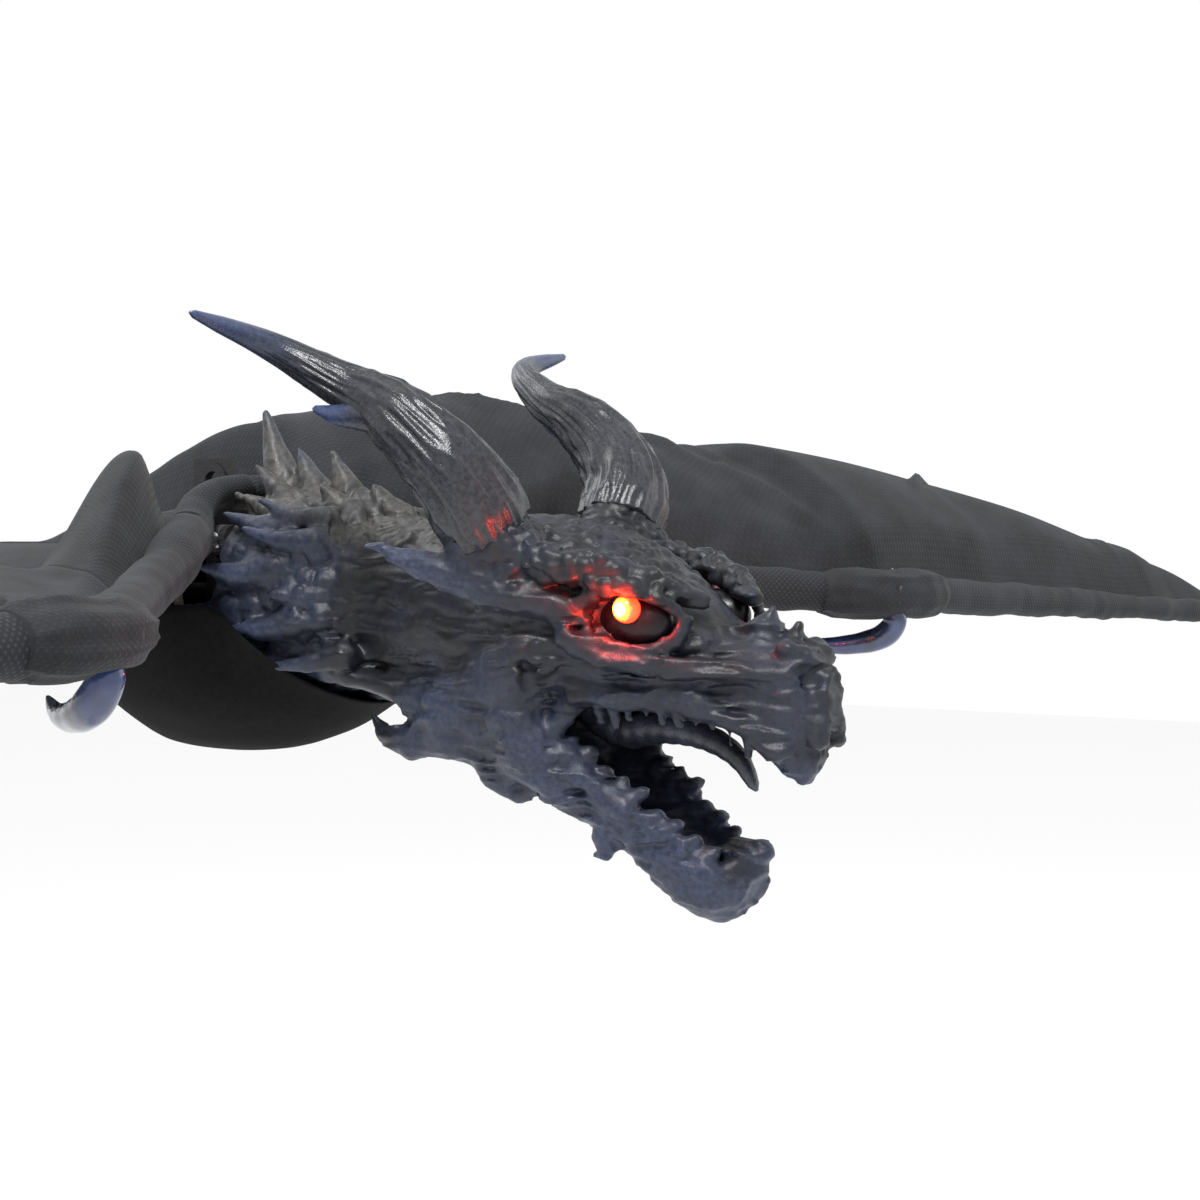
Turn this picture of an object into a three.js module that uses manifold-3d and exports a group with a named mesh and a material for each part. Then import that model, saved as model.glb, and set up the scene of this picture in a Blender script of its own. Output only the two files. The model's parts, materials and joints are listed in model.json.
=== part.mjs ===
// Hanging flying dragon: a moulded head that plugs onto a fabric body, with two folding fabric wings.
// Millimetres, +Z up, the nose towards -Y, the dragon's left towards +X.
// Layout coordinates start midway between the eyes. The model's own origin is the hanger's eye.
import * as THREE from "three";
import { mergeVertices } from "three/addons/utils/BufferGeometryUtils.js";
import Module from "manifold-3d";

const wasm = await Module();
wasm.setup();

// ---- Driving dimensions -------------------------------------------------------------------------
const GAP = 0.3;                    // between pieces that touch
const RUNNING = 0.06;               // radial clearance of a turning fit

const HANGER = { y: 262, z: 54, hole: 10, thick: 3, width: 26, top: 11, rim: 9, raise: 0.8 };
const TAB = { front: 230, low: 10 };             // the hanger's foot in the hub
const TAB_BOLT = { y: 243, z: 15, radius: 2 };
const HUB = { halfWidth: 18, front: 209, back: 251, low: -14, high: 24 };
const SHOULDER = { x: 30, y: 230, z: 26, lug: 7, pin: 2.5, eyeWide: 9, cheek: 4 };
const NECK = { tube: 8, bore: 5.5, front: 128, depth: 24 };
const NECK_SCREW = { y: 223, radius: 1.5 };
const PLUG = { thick: 9, front: 160 };
const SCREW = 1.3;                  // radius of a screw through the neck's skin into the plug
const SKIN = 5;                     // wall of the moulded head

const ROD = 4;                      // radius of an arm rod
const FINGER = 3;                   // radius of a finger rod
const SLEEVE = 11;                  // outer radius of the padded hem on the arm
const TIP_SLEEVE = 6;               // the same at the wing tip
const CLOTH = 1.2;                  // thickness of the wing cloth's solid
// How high each wing's cloth arches above its rod: x along the wing, height. The left wing is spread;
// the right wing's cloth falls from the shoulder to the arm and drapes behind it.
const CREST = {
  left: [[64, 50], [174, 84], [290, 84], [440, 73], [530, 59], [610, 43], [700, 23], [780, 3]],
  right: [[64, 36], [115, 40], [150, 28], [190, 15], [270, 26], [325, 30], [440, 22], [610, 14], [780, 2]],
};
// The draped section peaks close to the arm and falls below it, out to where the cloth spreads again.
const DRAPE = { peak: 0.14, end: 0.42, fall: 1.6, from: 150, to: 225 };
const WRIST = { x: 290, y: 38, z: -4, pin: 2.2, lug: 5.5, earGap: 3.3, ear: 4.5 };
const WING = { tip: 780, tipY: -10, tipZ: -30, rootX: 64, chord: 340, rootChord: 250, tipChord: 34 };
const CLAW = { length: 57, root: 6, drop: 22, peg: 3 };

const HOOP = { y: 226, rx: 62, top: 52, low: -56, wire: 4.5, lean: -14, sides: 6 };
const BELLY = { depth: 80, end: 520, wall: 2.2 };
const TAIL = { end: 880, root: 17, tip: 5 };
const SPINE = { radius: 5, bore: 3.2, exit: 300, depth: 15, end: TAIL.end - 80 };
const PANEL = { halfWidth: 49, start: 250, end: 500, z: 41, fall: 26, run: 90 };

const CELL = { radius: 7.1, length: 50 };
const CASE = { y: 345, z: -19, wall: 2, clear: 0.5 };
const KNOB = { width: 7, travel: 4 };
const WIRE = 1.1;
const LED = 2.5;
const LINK = { plugFront: 106, plugBack: 118, radius: 4, socketFront: 92 };
const EYE = { x: 38, y: 2, z: 0, radius: 8 };

// ---- Helpers ------------------------------------------------------------------------------------
const v = (x, y, z) => new THREE.Vector3(x, y, z);
const curve = (points) => new THREE.CatmullRomCurve3(points.map((p) => v(...p)), false, "centripetal");

function solidOf(geometry) {
  const bare = geometry.clone();
  bare.deleteAttribute("normal");
  bare.deleteAttribute("uv");
  const merged = mergeVertices(bare, 1e-4);
  return new wasm.Manifold(new wasm.Mesh({
    numProp: 3,
    vertProperties: new Float32Array(merged.attributes.position.array),
    triVerts: new Uint32Array(merged.index.array),
  }));
}

function geometryOf(solid) {
  const mesh = solid.getMesh();
  const geometry = new THREE.BufferGeometry();
  const points = [];
  for (let i = 0; i < mesh.vertProperties.length; i += mesh.numProp) {
    points.push(mesh.vertProperties[i], mesh.vertProperties[i + 1], mesh.vertProperties[i + 2]);
  }
  geometry.setAttribute("position", new THREE.Float32BufferAttribute(points, 3));
  geometry.setIndex([...mesh.triVerts]);
  return geometry;
}

const join = (...parts) => geometryOf(parts.map(solidOf).reduce((all, part) => all.add(part)));
const cut = (body, ...tools) =>
  geometryOf(tools.map(solidOf).reduce((all, tool) => all.subtract(tool), solidOf(body)));

// A closed skin through rings of points, with a fan over each end.
function loft(rings) {
  const count = rings[0].length;
  const points = rings.flat();
  const faces = [];
  for (let r = 0; r + 1 < rings.length; r++) {
    for (let i = 0; i < count; i++) {
      const a = r * count + i;
      const b = r * count + (i + 1) % count;
      faces.push(a, b, b + count, a, b + count, a + count);
    }
  }
  for (const end of [0, rings.length - 1]) {
    const centre = points.length;
    points.push(rings[end].reduce((sum, p) => sum.add(p), v(0, 0, 0)).divideScalar(count));
    for (let i = 0; i < count; i++) {
      const a = end * count + i;
      const b = end * count + (i + 1) % count;
      faces.push(centre, end ? a : b, end ? b : a);
    }
  }
  return closed(points, faces);
}

// Turns the faces outwards if the skin came out inside out.
function closed(points, faces) {
  let volume = 0;
  for (let i = 0; i < faces.length; i += 3) {
    volume += points[faces[i]].dot(points[faces[i + 1]].clone().cross(points[faces[i + 2]]));
  }
  if (volume < 0) faces.reverse();
  const geometry = new THREE.BufferGeometry().setFromPoints(points);
  geometry.setIndex(faces);
  return geometry;
}

// A rod along a curve; radius may be a number or a function of the way along it, 0 to 1.
// Overrun carries both ends straight on, for a cutting tool.
function rod(path, radius, steps = 12, sides = 10, overrun = 0) {
  const frames = path.computeFrenetFrames(steps);
  const ring = (s, extra) => {
    const r = typeof radius === "number" ? radius : radius(s / steps);
    const centre = path.getPointAt(s / steps).addScaledVector(frames.tangents[s], extra);
    return Array.from({ length: sides }, (_, i) => {
      const turn = (2 * Math.PI * i) / sides;
      return centre.clone()
        .addScaledVector(frames.normals[s], r * Math.cos(turn))
        .addScaledVector(frames.binormals[s], r * Math.sin(turn));
    });
  };
  const rings = Array.from({ length: steps + 1 }, (_, s) => ring(s, 0));
  if (overrun) rings.unshift(ring(0, -overrun));
  if (overrun) rings.push(ring(steps, overrun));
  return loft(rings);
}

const line = (from, to, radius, sides = 16) =>
  rod(new THREE.LineCurve3(v(...from), v(...to)), radius, 1, sides);
const spike = (from, to, radius, sides = 5) =>
  rod(new THREE.LineCurve3(v(...from), v(...to)), (t) => radius * (1 - 0.92 * t), 1, sides);

function box(low, high) {
  const size = v(...high).sub(v(...low));
  const middle = v(...high).add(v(...low)).divideScalar(2);
  return new THREE.BoxGeometry(size.x, size.y, size.z).translate(middle.x, middle.y, middle.z);
}

// A thick curved sheet over a grid: surface(u, w) gives its middle, u and w run from 0 to 1.
function sheet(surface, columns, rows, thickness) {
  const points = [];
  const step = 0.01;
  for (const side of [0.5, -0.5]) {
    for (let i = 0; i <= columns; i++) {
      for (let j = 0; j <= rows; j++) {
        const [u, w] = [i / columns, j / rows];
        const du = surface(Math.min(u + step, 1), w).sub(surface(Math.max(u - step, 0), w));
        const dw = surface(u, Math.min(w + step, 1)).sub(surface(u, Math.max(w - step, 0)));
        points.push(surface(u, w).addScaledVector(du.cross(dw).normalize(), side * thickness));
      }
    }
  }
  const faces = [];
  const lower = (columns + 1) * (rows + 1);
  const at = (i, j) => i * (rows + 1) + j;
  const quad = (a, b, c, d) => faces.push(a, b, c, a, c, d);
  for (let i = 0; i < columns; i++) {
    for (let j = 0; j < rows; j++) {
      quad(at(i, j), at(i + 1, j), at(i + 1, j + 1), at(i, j + 1));
      quad(lower + at(i, j), lower + at(i, j + 1), lower + at(i + 1, j + 1), lower + at(i + 1, j));
    }
    quad(at(i, 0), lower + at(i, 0), lower + at(i + 1, 0), at(i + 1, 0));
    quad(at(i, rows), at(i + 1, rows), lower + at(i + 1, rows), lower + at(i, rows));
  }
  for (let j = 0; j < rows; j++) {
    quad(at(0, j), at(0, j + 1), lower + at(0, j + 1), lower + at(0, j));
    quad(at(columns, j), lower + at(columns, j), lower + at(columns, j + 1), at(columns, j + 1));
  }
  return closed(points, faces);
}

// An upright oval ring across Y: up and down may differ, and pitch leans its top backwards.
function oval(y, z, wide, up, down, sides = 16, lean = 0) {
  return Array.from({ length: sides }, (_, i) => {
    const turn = (2 * Math.PI * i) / sides;
    const rise = Math.sin(turn) * (Math.sin(turn) > 0 ? up : down);
    return v(wide * Math.cos(turn), y + rise * lean, z + rise);
  });
}

const mirrorX = ([x, y, z], side) => [side * x, y, z];
const mix = (a, b, t) => a + (b - a) * t;
const clamp = (t) => Math.min(Math.max(t, 0), 1);
const ease = (t) => THREE.MathUtils.smoothstep(t, 0, 1);
// A search that finds nothing further along means the last one.
const orLast = (index, last) => (index < 1 ? last : index);

// ---- Materials and the group --------------------------------------------------------------------
const LOOKS = {
  skin: [0x23262d, 0.45, 0.1], horn: [0x15171c, 0.3, 0.15], tongue: [0x1b1c24, 0.4, 0.05],
  claw: [0x1e2a4a, 0.3, 0.2], lens: [0xff4a1e, 0.15, 0], led: [0xff2a10, 0.2, 0],
  cloth: [0x2b2e33, 0.95, 0], lining: [0x0e0e10, 0.95, 0], plastic: [0x17181b, 0.5, 0],
  steel: [0x9a9da2, 0.35, 0.9], alloy: [0xb4b7bb, 0.4, 0.85], foam: [0x3a3833, 0.95, 0],
  wire: [0x8c1f1b, 0.5, 0], cell: [0x3c6b49, 0.4, 0.3],
};
const dragon = new THREE.Group();
const layout = new THREE.Group();
layout.position.set(0, -HANGER.y, -HANGER.z);
dragon.add(layout);

function add(name, look, geometry, mirrored = false) {
  const [color, roughness, metalness] = LOOKS[look];
  let shape = geometry.index ? geometry : mergeVertices(geometry);
  if (mirrored) {
    shape = shape.clone();
    shape.scale(-1, 1, 1);
    shape.setIndex([...shape.index.array].reverse());
  }
  shape.computeVertexNormals();
  const mesh = new THREE.Mesh(shape, new THREE.MeshStandardMaterial({ color, roughness, metalness }));
  mesh.name = name;
  layout.add(mesh);
}

const addPair = (name, look, geometry) => {
  add(`left_${name}`, look, geometry);
  add(`right_${name}`, look, geometry, true);
};

// ---- Head ---------------------------------------------------------------------------------------
// Rings from the snout to the back of the neck: y, middle z, half width, height above, depth below.
const SKULL = [
  [-69, -33, 10, 12, 12], [-62, -37, 17, 19, 22], [-42, -34, 22, 22, 22], [-15, -24, 30, 33, 25],
  [10, -16, 43, 37, 27], [40, -8, 49, 41, 34], [75, -6, 49, 44, 42], [110, -6, 43, 40, 40],
  [150, -2, 41, 40, 36], [200, 0, 47, 44, 44],
];
const JAW = [
  [-35, -111, 11, 9, 11], [-18, -104, 19, 19, 22], [2, -92, 25, 20, 24], [26, -79, 31, 20, 22],
  [52, -68, 36, 22, 20], [82, -58, 38, 24, 20], [112, -44, 34, 20, 16],
];
const skullRings = (shrink) => SKULL.map(([y, z, wide, up, down]) =>
  oval(y, z, wide - shrink, up - shrink, down - shrink));

const HORN = {
  boss: [[30, 57, 6], [50, 61, 33]], base: 18, tip: 2.2, peg: 6,
  path: [[62, 66, 52], [69, 80, 69], [71, 98, 82], [75, 119, 92], [92, 144, 108], [132, 148, 118]],
};
const PEG_END = [36, 58.2, 14.1];
// Tips of the ruff's spikes and the radius of their roots, then the crest's: y, z, tip y, tip z, radius.
const RUFF = [[46, 212, 35, 9], [56, 216, 12, 10], [54, 236, -8, 10], [48, 262, -22, 10], [30, 232, -40, 9],
  [26, 222, 48, 9]];
const CREST_SPIKES = [[222, 38, 230, 86, 12], [196, 40, 209, 67, 9], [174, 36, 187, 66, 9]];
const TEETH = 5;
const CHEEK = [[36, 34, 0], [52, 66, 8], [70, 107, 24]];
const cheekSpike = (side, extra) => rod(curve(CHEEK.map((p) => mirrorX(p, side))),
  (t) => 13 * (1 - 0.85 * t) + extra, 4, 6);

function headSpikes() {
  const spikes = [
    spike([0, -43, -14], [0, -48, -2], 11), spike([0, -56, -20], [0, -60, -8], 6),
    spike([0, -52, -52], [0, -64, -71], 9), spike([0, 120, -46], [0, 139, -55], 9),
    ...CREST_SPIKES.map(([y, z, tipY, tipZ, r]) => spike([0, Math.min(y, 196), z - 6], [0, tipY, tipZ], r)),
  ];
  for (const side of [-1, 1]) {
    const [foot, seat] = HORN.boss.map((p) => mirrorX(p, side));
    spikes.push(cheekSpike(side, 0), line(foot, seat, HORN.base, 12));
    for (const [x, y, z, r] of RUFF) {
      spikes.push(spike([side * x * 0.74, Math.min(y - 52, 186), z * 0.8], [side * x, y, z], r));
    }
    for (let tooth = 0; tooth < TEETH; tooth++) {
      const t = tooth / (TEETH - 1);
      const upper = [side * mix(27, 11, t), mix(14, -50, t), mix(-36, -46, t)];
      const lower = [side * mix(23, 9, t), mix(10, -28, t), mix(-82, -100, t)];
      spikes.push(spike(upper, [upper[0], upper[1] - 2, upper[2] - 16], 5, 4));
      spikes.push(spike(lower, [lower[0], lower[1] - 6, lower[2] + 17], 5, 4));
    }
  }
  return spikes;
}

function head() {
  const jaw = loft(JAW.map(([y, z, wide, up, down]) => oval(y, z, wide, up, down)));
  const shell = join(loft(skullRings(0)), jaw, ...headSpikes());
  // The mouth is a wedge that opens forwards; the hollow of the neck and skull opens at the back.
  const wedge = [[30, -53], [-12, -47], [-90, -76], [-90, -84], [-30, -84], [0, -70]];
  const mouth = loft([-17, 17].map((x) => wedge.map(([y, z]) => v(x, y, z))));
  const hollow = loft([oval(-6, -6, 14, 9, 9), oval(14, -8, 24, 16, 16), oval(40, -4, 40, 30, 24),
    ...SKULL.slice(6, -1).map(([y, z, wide, up, down]) => oval(y, z, wide - SKIN, up - SKIN, down - SKIN)),
    oval(202, 0, 47 - SKIN, 44 - SKIN, 44 - SKIN)]);
  const sockets = [-1, 1].flatMap((side) => [
    line([side * 60, EYE.y, EYE.z], [side * (EYE.x - EYE.radius), EYE.y, EYE.z], EYE.radius + GAP, 12),
    line([side * 34, EYE.y, EYE.z], [side * 8, EYE.y, EYE.z], LED + GAP, 12),
    line(mirrorX(HORN.boss[1], side).map((p, i) => p + 0.2 * [side, 0, 1][i]), mirrorX(PEG_END, side),
      HORN.peg + GAP, 12),
  ]);
  const screws = screwSpots().map(([x, z]) => line([x * 1.6, SCREW_Y, z * 1.6], [x * 0.5, SCREW_Y, z * 0.5],
    SCREW + GAP, 10));
  return cut(shell, mouth, hollow, tongueShape(GAP), ...sockets, ...screws);
}

function horn() {
  const [foot, seat] = HORN.boss.map((p) => v(...p));
  const out = seat.clone().sub(foot).normalize();
  const start = seat.clone().addScaledVector(out, GAP);
  const path = curve([start.toArray(), seat.clone().addScaledVector(out, 8).toArray(), ...HORN.path]);
  const main = rod(path, (t) => mix(HORN.base, HORN.tip, Math.pow(t, 0.75)), 12, 12);
  const prong = rod(curve([[72, 96, 80], [78, 110, 78], [82, 125, 80]]), (t) => mix(8, 1.6, t), 3, 6);
  const peg = line(seat.clone().addScaledVector(out, 4).toArray(),
    seat.clone().addScaledVector(out, -18).toArray(), HORN.peg, 12);
  return cut(join(main, prong, peg), cheekSpike(1, 0.6));
}

const TONGUE = [[0, 44, -37], [0, 22, -54], [0, -4, -60], [0, -26, -66], [0, -42, -77]];
const tongueShape = (extra) =>
  rod(curve(TONGUE), (t) => mix(8.2, 1.6, Math.pow(t, 1.6)) + extra, 8, 8, extra);

function eyeLens() {
  return new THREE.SphereGeometry(EYE.radius - GAP, 12, 8).translate(EYE.x + 0.3, EYE.y, EYE.z);
}
const led = () => join(line([19, EYE.y, EYE.z], [28, EYE.y, EYE.z], LED, 8),
  new THREE.SphereGeometry(LED, 8, 6).translate(27.8, EYE.y, EYE.z));

// ---- Wings --------------------------------------------------------------------------------------
const ARM = [[SHOULDER.x + 15, SHOULDER.y, SHOULDER.z], [SHOULDER.x + 32, SHOULDER.y - 12, SHOULDER.z + 1],
  [110, 174, 25], [150, 146, 13], [205, 105, 3], [WRIST.x - 16, WRIST.y + 11, WRIST.z]];
const FRONT = [[WRIST.x + 14, WRIST.y - 1, WRIST.z], [440, 26, -11], [600, 8, -20],
  [WING.tip, WING.tipY, WING.tipZ]];
const armCurve = curve(ARM);
const frontCurve = curve(FRONT);
const armSamples = armCurve.getSpacedPoints(160);
const frontSamples = frontCurve.getSpacedPoints(200);
const lead = [...armSamples, ...frontSamples];

// The rod's middle where it crosses a given x.
function leadAt(x) {
  const found = lead.findIndex((p) => p.x >= x);
  const after = found > 0 ? found : lead.length - 1;
  const [a, b] = [lead[after - 1], lead[after]];
  return a.clone().lerp(b, (x - a.x) / (b.x - a.x));
}

function crestAt(x, crest) {
  const after = orLast(crest.findIndex(([at]) => at > x), crest.length - 1);
  const [[x0, low], [x1, high]] = [crest[after - 1], crest[after]];
  return mix(low, high, clamp((x - x0) / (x1 - x0)));
}

// Fore-and-aft width of the wing, with scallops between the finger ends.
const FINGER_ENDS = [WRIST.x, 440, 610, WING.tip];
function chordAt(x) {
  if (x <= WRIST.x) {
    const t = (x - WING.rootX) / (WRIST.x - WING.rootX);
    return mix(WING.rootChord, WING.chord, t) - 46 * Math.sin(Math.PI * t) ** 2;
  }
  const t = (x - WRIST.x) / (WING.tip - WRIST.x);
  const span = Math.max(1, FINGER_ENDS.findIndex((end) => x <= end + 1e-6));
  const between = clamp((x - FINGER_ENDS[span - 1]) / (FINGER_ENDS[span] - FINGER_ENDS[span - 1]));
  return mix(WING.chord, WING.tipChord, Math.pow(t, 1.25)) - 40 * (1 - t) * Math.sin(Math.PI * between);
}

function clothPoint(x, s, crest) {
  const front = leadAt(x);
  const u = s / chordAt(x);
  const peak = 0.35;
  const arch = u < peak ? ((u - peak) / peak) ** 2 : 0.95 * ((u - peak) / (1 - peak)) ** 2;
  const drop = u < DRAPE.peak ? ((u - DRAPE.peak) / DRAPE.peak) ** 2
    : DRAPE.fall * ease((u - DRAPE.peak) / (DRAPE.end - DRAPE.peak));
  const draped = crest === CREST.right ? 1 - ease((x - DRAPE.from) / (DRAPE.to - DRAPE.from)) : 0;
  return v(x, front.y + s, front.z + crestAt(x, crest) * (1 - mix(arch, drop, draped)));
}

const sleeveAt = (x) => mix(SLEEVE, TIP_SLEEVE, clamp((x - WRIST.x) / (WING.tip - WRIST.x)));
// Behind the wrist the cloth starts clear of the bracket and the knuckle.
const ROOM = { bracket: 14, knuckle: 25, reach: 22, ramp: 24 };
function wristRoom(x) {
  const depth = x < WRIST.x ? ROOM.bracket : ROOM.knuckle;
  return depth * clamp((ROOM.reach + ROOM.ramp - Math.abs(x - WRIST.x)) / ROOM.ramp);
}
// The cloth starts where it lies on the padded hem.
function hemEdge(x, crest) {
  const reach = sleeveAt(x) + CLOTH * 0.78 + GAP;
  const samples = lead.filter((p) => Math.abs(p.x - x) < 40);
  for (let s = wristRoom(x); ; s += 0.1) {
    const p = clothPoint(x, s, crest);
    if (samples.every((q) => q.distanceTo(p) >= reach)) return s;
  }
}

function cloth(from, to, crest, columns, rows) {
  const edges = new Map();
  return sheet((u, w) => {
    const x = mix(from, to, u);
    if (!edges.has(x)) edges.set(x, hemEdge(x, crest));
    return clothPoint(x, mix(edges.get(x), chordAt(x), w), crest);
  }, columns, rows, CLOTH);
}

// The flat facets of the cloth dip below its curve by this share of the crest.
const FACET_ROOM = 0.032;
// A finger rod under the cloth, from the knuckle to the trailing edge at endX.
function fingerPath(endX, offset, crest) {
  const points = [[WRIST.x + 12, WRIST.y + offset, WRIST.z],
    [WRIST.x + 17, WRIST.y + offset + 4, WRIST.z + 1]];
  for (let i = 1; i <= 8; i++) {
    const x = mix(WRIST.x + 16, endX - 5, i / 8);
    const endY = leadAt(endX - 5).y + chordAt(endX - 5) - 5;
    const s = mix(WRIST.y + offset + 22, endY, i / 8) - leadAt(x).y;
    const along = clothPoint(x + 1, s, crest).sub(clothPoint(x - 1, s, crest));
    const back = clothPoint(x, s + 1, crest).sub(clothPoint(x, s - 1, crest));
    const below = -(FINGER + CLOTH / 2 + FACET_ROOM * Math.max(...crest.map(([, height]) => height)));
    points.push(clothPoint(x, s, crest).addScaledVector(along.cross(back).normalize(), below).toArray());
  }
  return curve(points);
}

const padded = (path, outer, inner, steps) =>
  cut(rod(path, outer, steps, 10), rod(path, inner, steps, 10, 2));
const trimmed = (path, from, to, count = 14) => new THREE.CatmullRomCurve3(
  Array.from({ length: count + 1 }, (_, i) => path.getPointAt(mix(from, to, i / count))),
  false, "centripetal");

function wing(side, mirrored) {
  const crest = CREST[side];
  const put = (name, look, geometry) => add(`${side}_${name}`, look, geometry, mirrored);
  const eye = SHOULDER.eyeWide / 2;

  // The arm rod ends in an eye on the shoulder pin.
  const armPath = curve([[SHOULDER.x + 3, SHOULDER.y, SHOULDER.z], ...ARM]);
  const arm = join(rod(armPath, ROD, 14, 10),
    line([SHOULDER.x, SHOULDER.y - eye, SHOULDER.z], [SHOULDER.x, SHOULDER.y + eye, SHOULDER.z],
      SHOULDER.lug, 12));
  put("arm_rod", "alloy", cut(arm, line([SHOULDER.x, SHOULDER.y - 20, SHOULDER.z],
    [SHOULDER.x, SHOULDER.y + 20, SHOULDER.z], SHOULDER.pin + RUNNING, 16)));
  put("shoulder_pin", "steel", shoulderPin());
  put("arm_sleeve", "cloth", padded(trimmed(armPath, 0.14, 0.93, 24), SLEEVE, ROD + 2 * GAP, 12));
  put("inner_membrane", "cloth", cloth(WING.rootX, WRIST.x - 0.6, crest, 10, 9));

  // The bracket grips the arm rod and carries the wrist pin and the claw.
  const { x, y, z, lug } = WRIST;
  const { earGap, ear } = WRIST;
  const ears = [[earGap, earGap + ear], [-earGap - ear, -earGap]];
  const grip = join(rod(trimmed(armPath, 0.95, 1, 4), ROD + 3.2, 4, 14, 2),
    box([x - 18, y - 8, z - 5], [x - 6.4, y + 9, z + 5]),
    ...ears.flatMap(([from, to]) => [line([x, y + from, z], [x, y + to, z], lug, 16),
      box([x - 7, y + from, z - lug + 0.5], [x, y + to, z + lug - 0.5])]));
  put("wrist_bracket", "plastic", cut(grip, rod(trimmed(armPath, 0.86, 1, 4), ROD + GAP, 4, 10, 0.4),
    line([x, y - 20, z], [x, y + 20, z], WRIST.pin + GAP, 12),
    line([x - 10, y + 1, z - 1], [x - 10, y + 1, z - 12], CLAW.peg + GAP, 12)));
  const pinReach = earGap + ear + GAP;
  put("wrist_pin", "steel", join(line([x, y - pinReach - 1, z], [x, y + pinReach + 1, z], WRIST.pin, 16),
    line([x, y - pinReach - 2, z], [x, y - pinReach, z], 4, 12),
    line([x, y + pinReach, z], [x, y + pinReach + 2, z], 4, 12)));
  put("claw", "claw", claw());

  // The knuckle turns on the wrist pin and holds the three finger rods.
  const tongueHalf = earGap - GAP;
  const knuckle = join(line([x, y - tongueHalf, z], [x, y + tongueHalf, z], lug, 16),
    box([x, y - tongueHalf, z - lug + 0.5], [x + 10, y + tongueHalf, z + lug - 0.5]),
    box([x + 7, y - 7, z - 5.5], [x + 17, y + 21.5, z + 7]));
  const paths = [curve([[x + 9, y - 1, z], ...FRONT]), fingerPath(FINGER_ENDS[2], 7.5, crest),
    fingerPath(FINGER_ENDS[1], 16, crest)];
  put("knuckle", "plastic", cut(knuckle, ...paths.map((path) => rod(path, FINGER + GAP, 12, 7, 0.4)),
    line([x, y - 20, z], [x, y + 20, z], WRIST.pin + RUNNING, 16)));
  paths.forEach((path, i) => put(`finger_rod_${i + 1}`, "alloy", rod(path, FINGER, 12, 7)));
  const hem = trimmed(paths[0], 0.035, 0.995, 20);
  put("finger_sleeve", "cloth", cut(rod(hem, (t) => mix(SLEEVE, TIP_SLEEVE, t), 12, 10),
    rod(paths[0], FINGER + 2 * GAP, 12, 10, 3)));
  put("outer_membrane", "cloth", cloth(WRIST.x + 0.6, WING.tip - 4, crest, 16, 9));
}

function claw() {
  const { x, y, z } = WRIST;
  const peg = line([x - 10, y + 1, z - 1.4], [x - 10, y + 1, z - 14], CLAW.peg, 12);
  const hook = rod(curve([[x - 10, y + 1, z - 12], [x - 8, y + 3, z - 18], [x - 12, y + 16, z - 23],
    [x - 22, y + 36, z - 24], [x - 34, y + CLAW.length, z - CLAW.drop]]),
  (t) => mix(CLAW.root, 0.9, Math.pow(t, 1.2)), 10, 8);
  return join(peg, hook);
}

// ---- Hub and what hangs on it -------------------------------------------------------------------
const EAR = SHOULDER.eyeWide / 2 + GAP;
function shoulderPin() {
  const { x, y, z, pin, cheek } = SHOULDER;
  const reach = EAR + cheek;
  return join(line([x, y - reach - 1.5, z], [x, y + reach + 1.5, z], pin, 16),
    line([x, y - reach - 2.5, z], [x, y - reach - GAP, z], pin + 2, 12),
    line([x, y + reach + GAP, z], [x, y + reach + 2.5, z], pin + 2, 12));
}

function hub() {
  const { halfWidth, front, back, low, high } = HUB;
  const { x, y, z, lug, pin, cheek } = SHOULDER;
  const parts = [box([-halfWidth, front, low], [halfWidth, back, high])];
  for (const side of [-1, 1]) {
    for (const [from, to] of [[-EAR - cheek, -EAR], [EAR, EAR + cheek]]) {
      const [inner, outer] = [side * (halfWidth - 2), side * x].sort((a, b) => a - b);
      parts.push(line([side * x, y + from, z], [side * x, y + to, z], lug, 16));
      parts.push(box([inner, y + from, z - lug], [outer, y + to, z + 2]));
    }
  }
  // The post carries the collar hoop at its lowest point.
  parts.push(line([0, HOOP.y + HOOP.lean + 1, low + 2],
    [0, HOOP.y + HOOP.lean + 1, HOOP.low + HOOP.wire / 2 + GAP + 0.2], 3.5, 10));
  const bores = [-1, 1].map((side) => line([side * x, y - 20, z], [side * x, y + 20, z], pin + GAP, 16));
  return cut(join(...parts), ...bores,
    line([0, front - 1, 0], [0, front + NECK.depth, 0], NECK.tube + GAP, 20),
    line([0, front, 0], [0, back + 1, 0], SPINE.bore, 12),
    line([0, back - SPINE.depth, 0], [0, back + 1, 0], SPINE.radius + GAP, 16),
    box([-HANGER.thick / 2 - GAP, TAB.front - GAP, TAB.low - GAP],
      [HANGER.thick / 2 + GAP, back + 1, high + 1]),
    line([-halfWidth - 1, TAB_BOLT.y, TAB_BOLT.z], [halfWidth + 1, TAB_BOLT.y, TAB_BOLT.z],
      TAB_BOLT.radius + GAP, 12),
    line([0, NECK_SCREW.y, low - 1], [0, NECK_SCREW.y, 0], NECK_SCREW.radius + GAP, 12));
}

// A flat strap with a raised rim round its eye.
function hangerTab() {
  const half = HANGER.thick / 2;
  const { y, z, width, top, hole, rim, raise } = HANGER;
  return cut(
    join(box([-half, TAB.front, TAB.low], [half, y + 3, z - 14]),
      box([-half, y - width / 2, z - 15], [half, y + width / 2, z + top]),
      line([-half - raise, y, z], [half + raise, y, z], rim, 24)),
    line([-9, y, z], [9, y, z], hole / 2, 24),
    line([-9, TAB_BOLT.y, TAB_BOLT.z], [9, TAB_BOLT.y, TAB_BOLT.z], TAB_BOLT.radius + GAP, 12));
}

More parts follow.
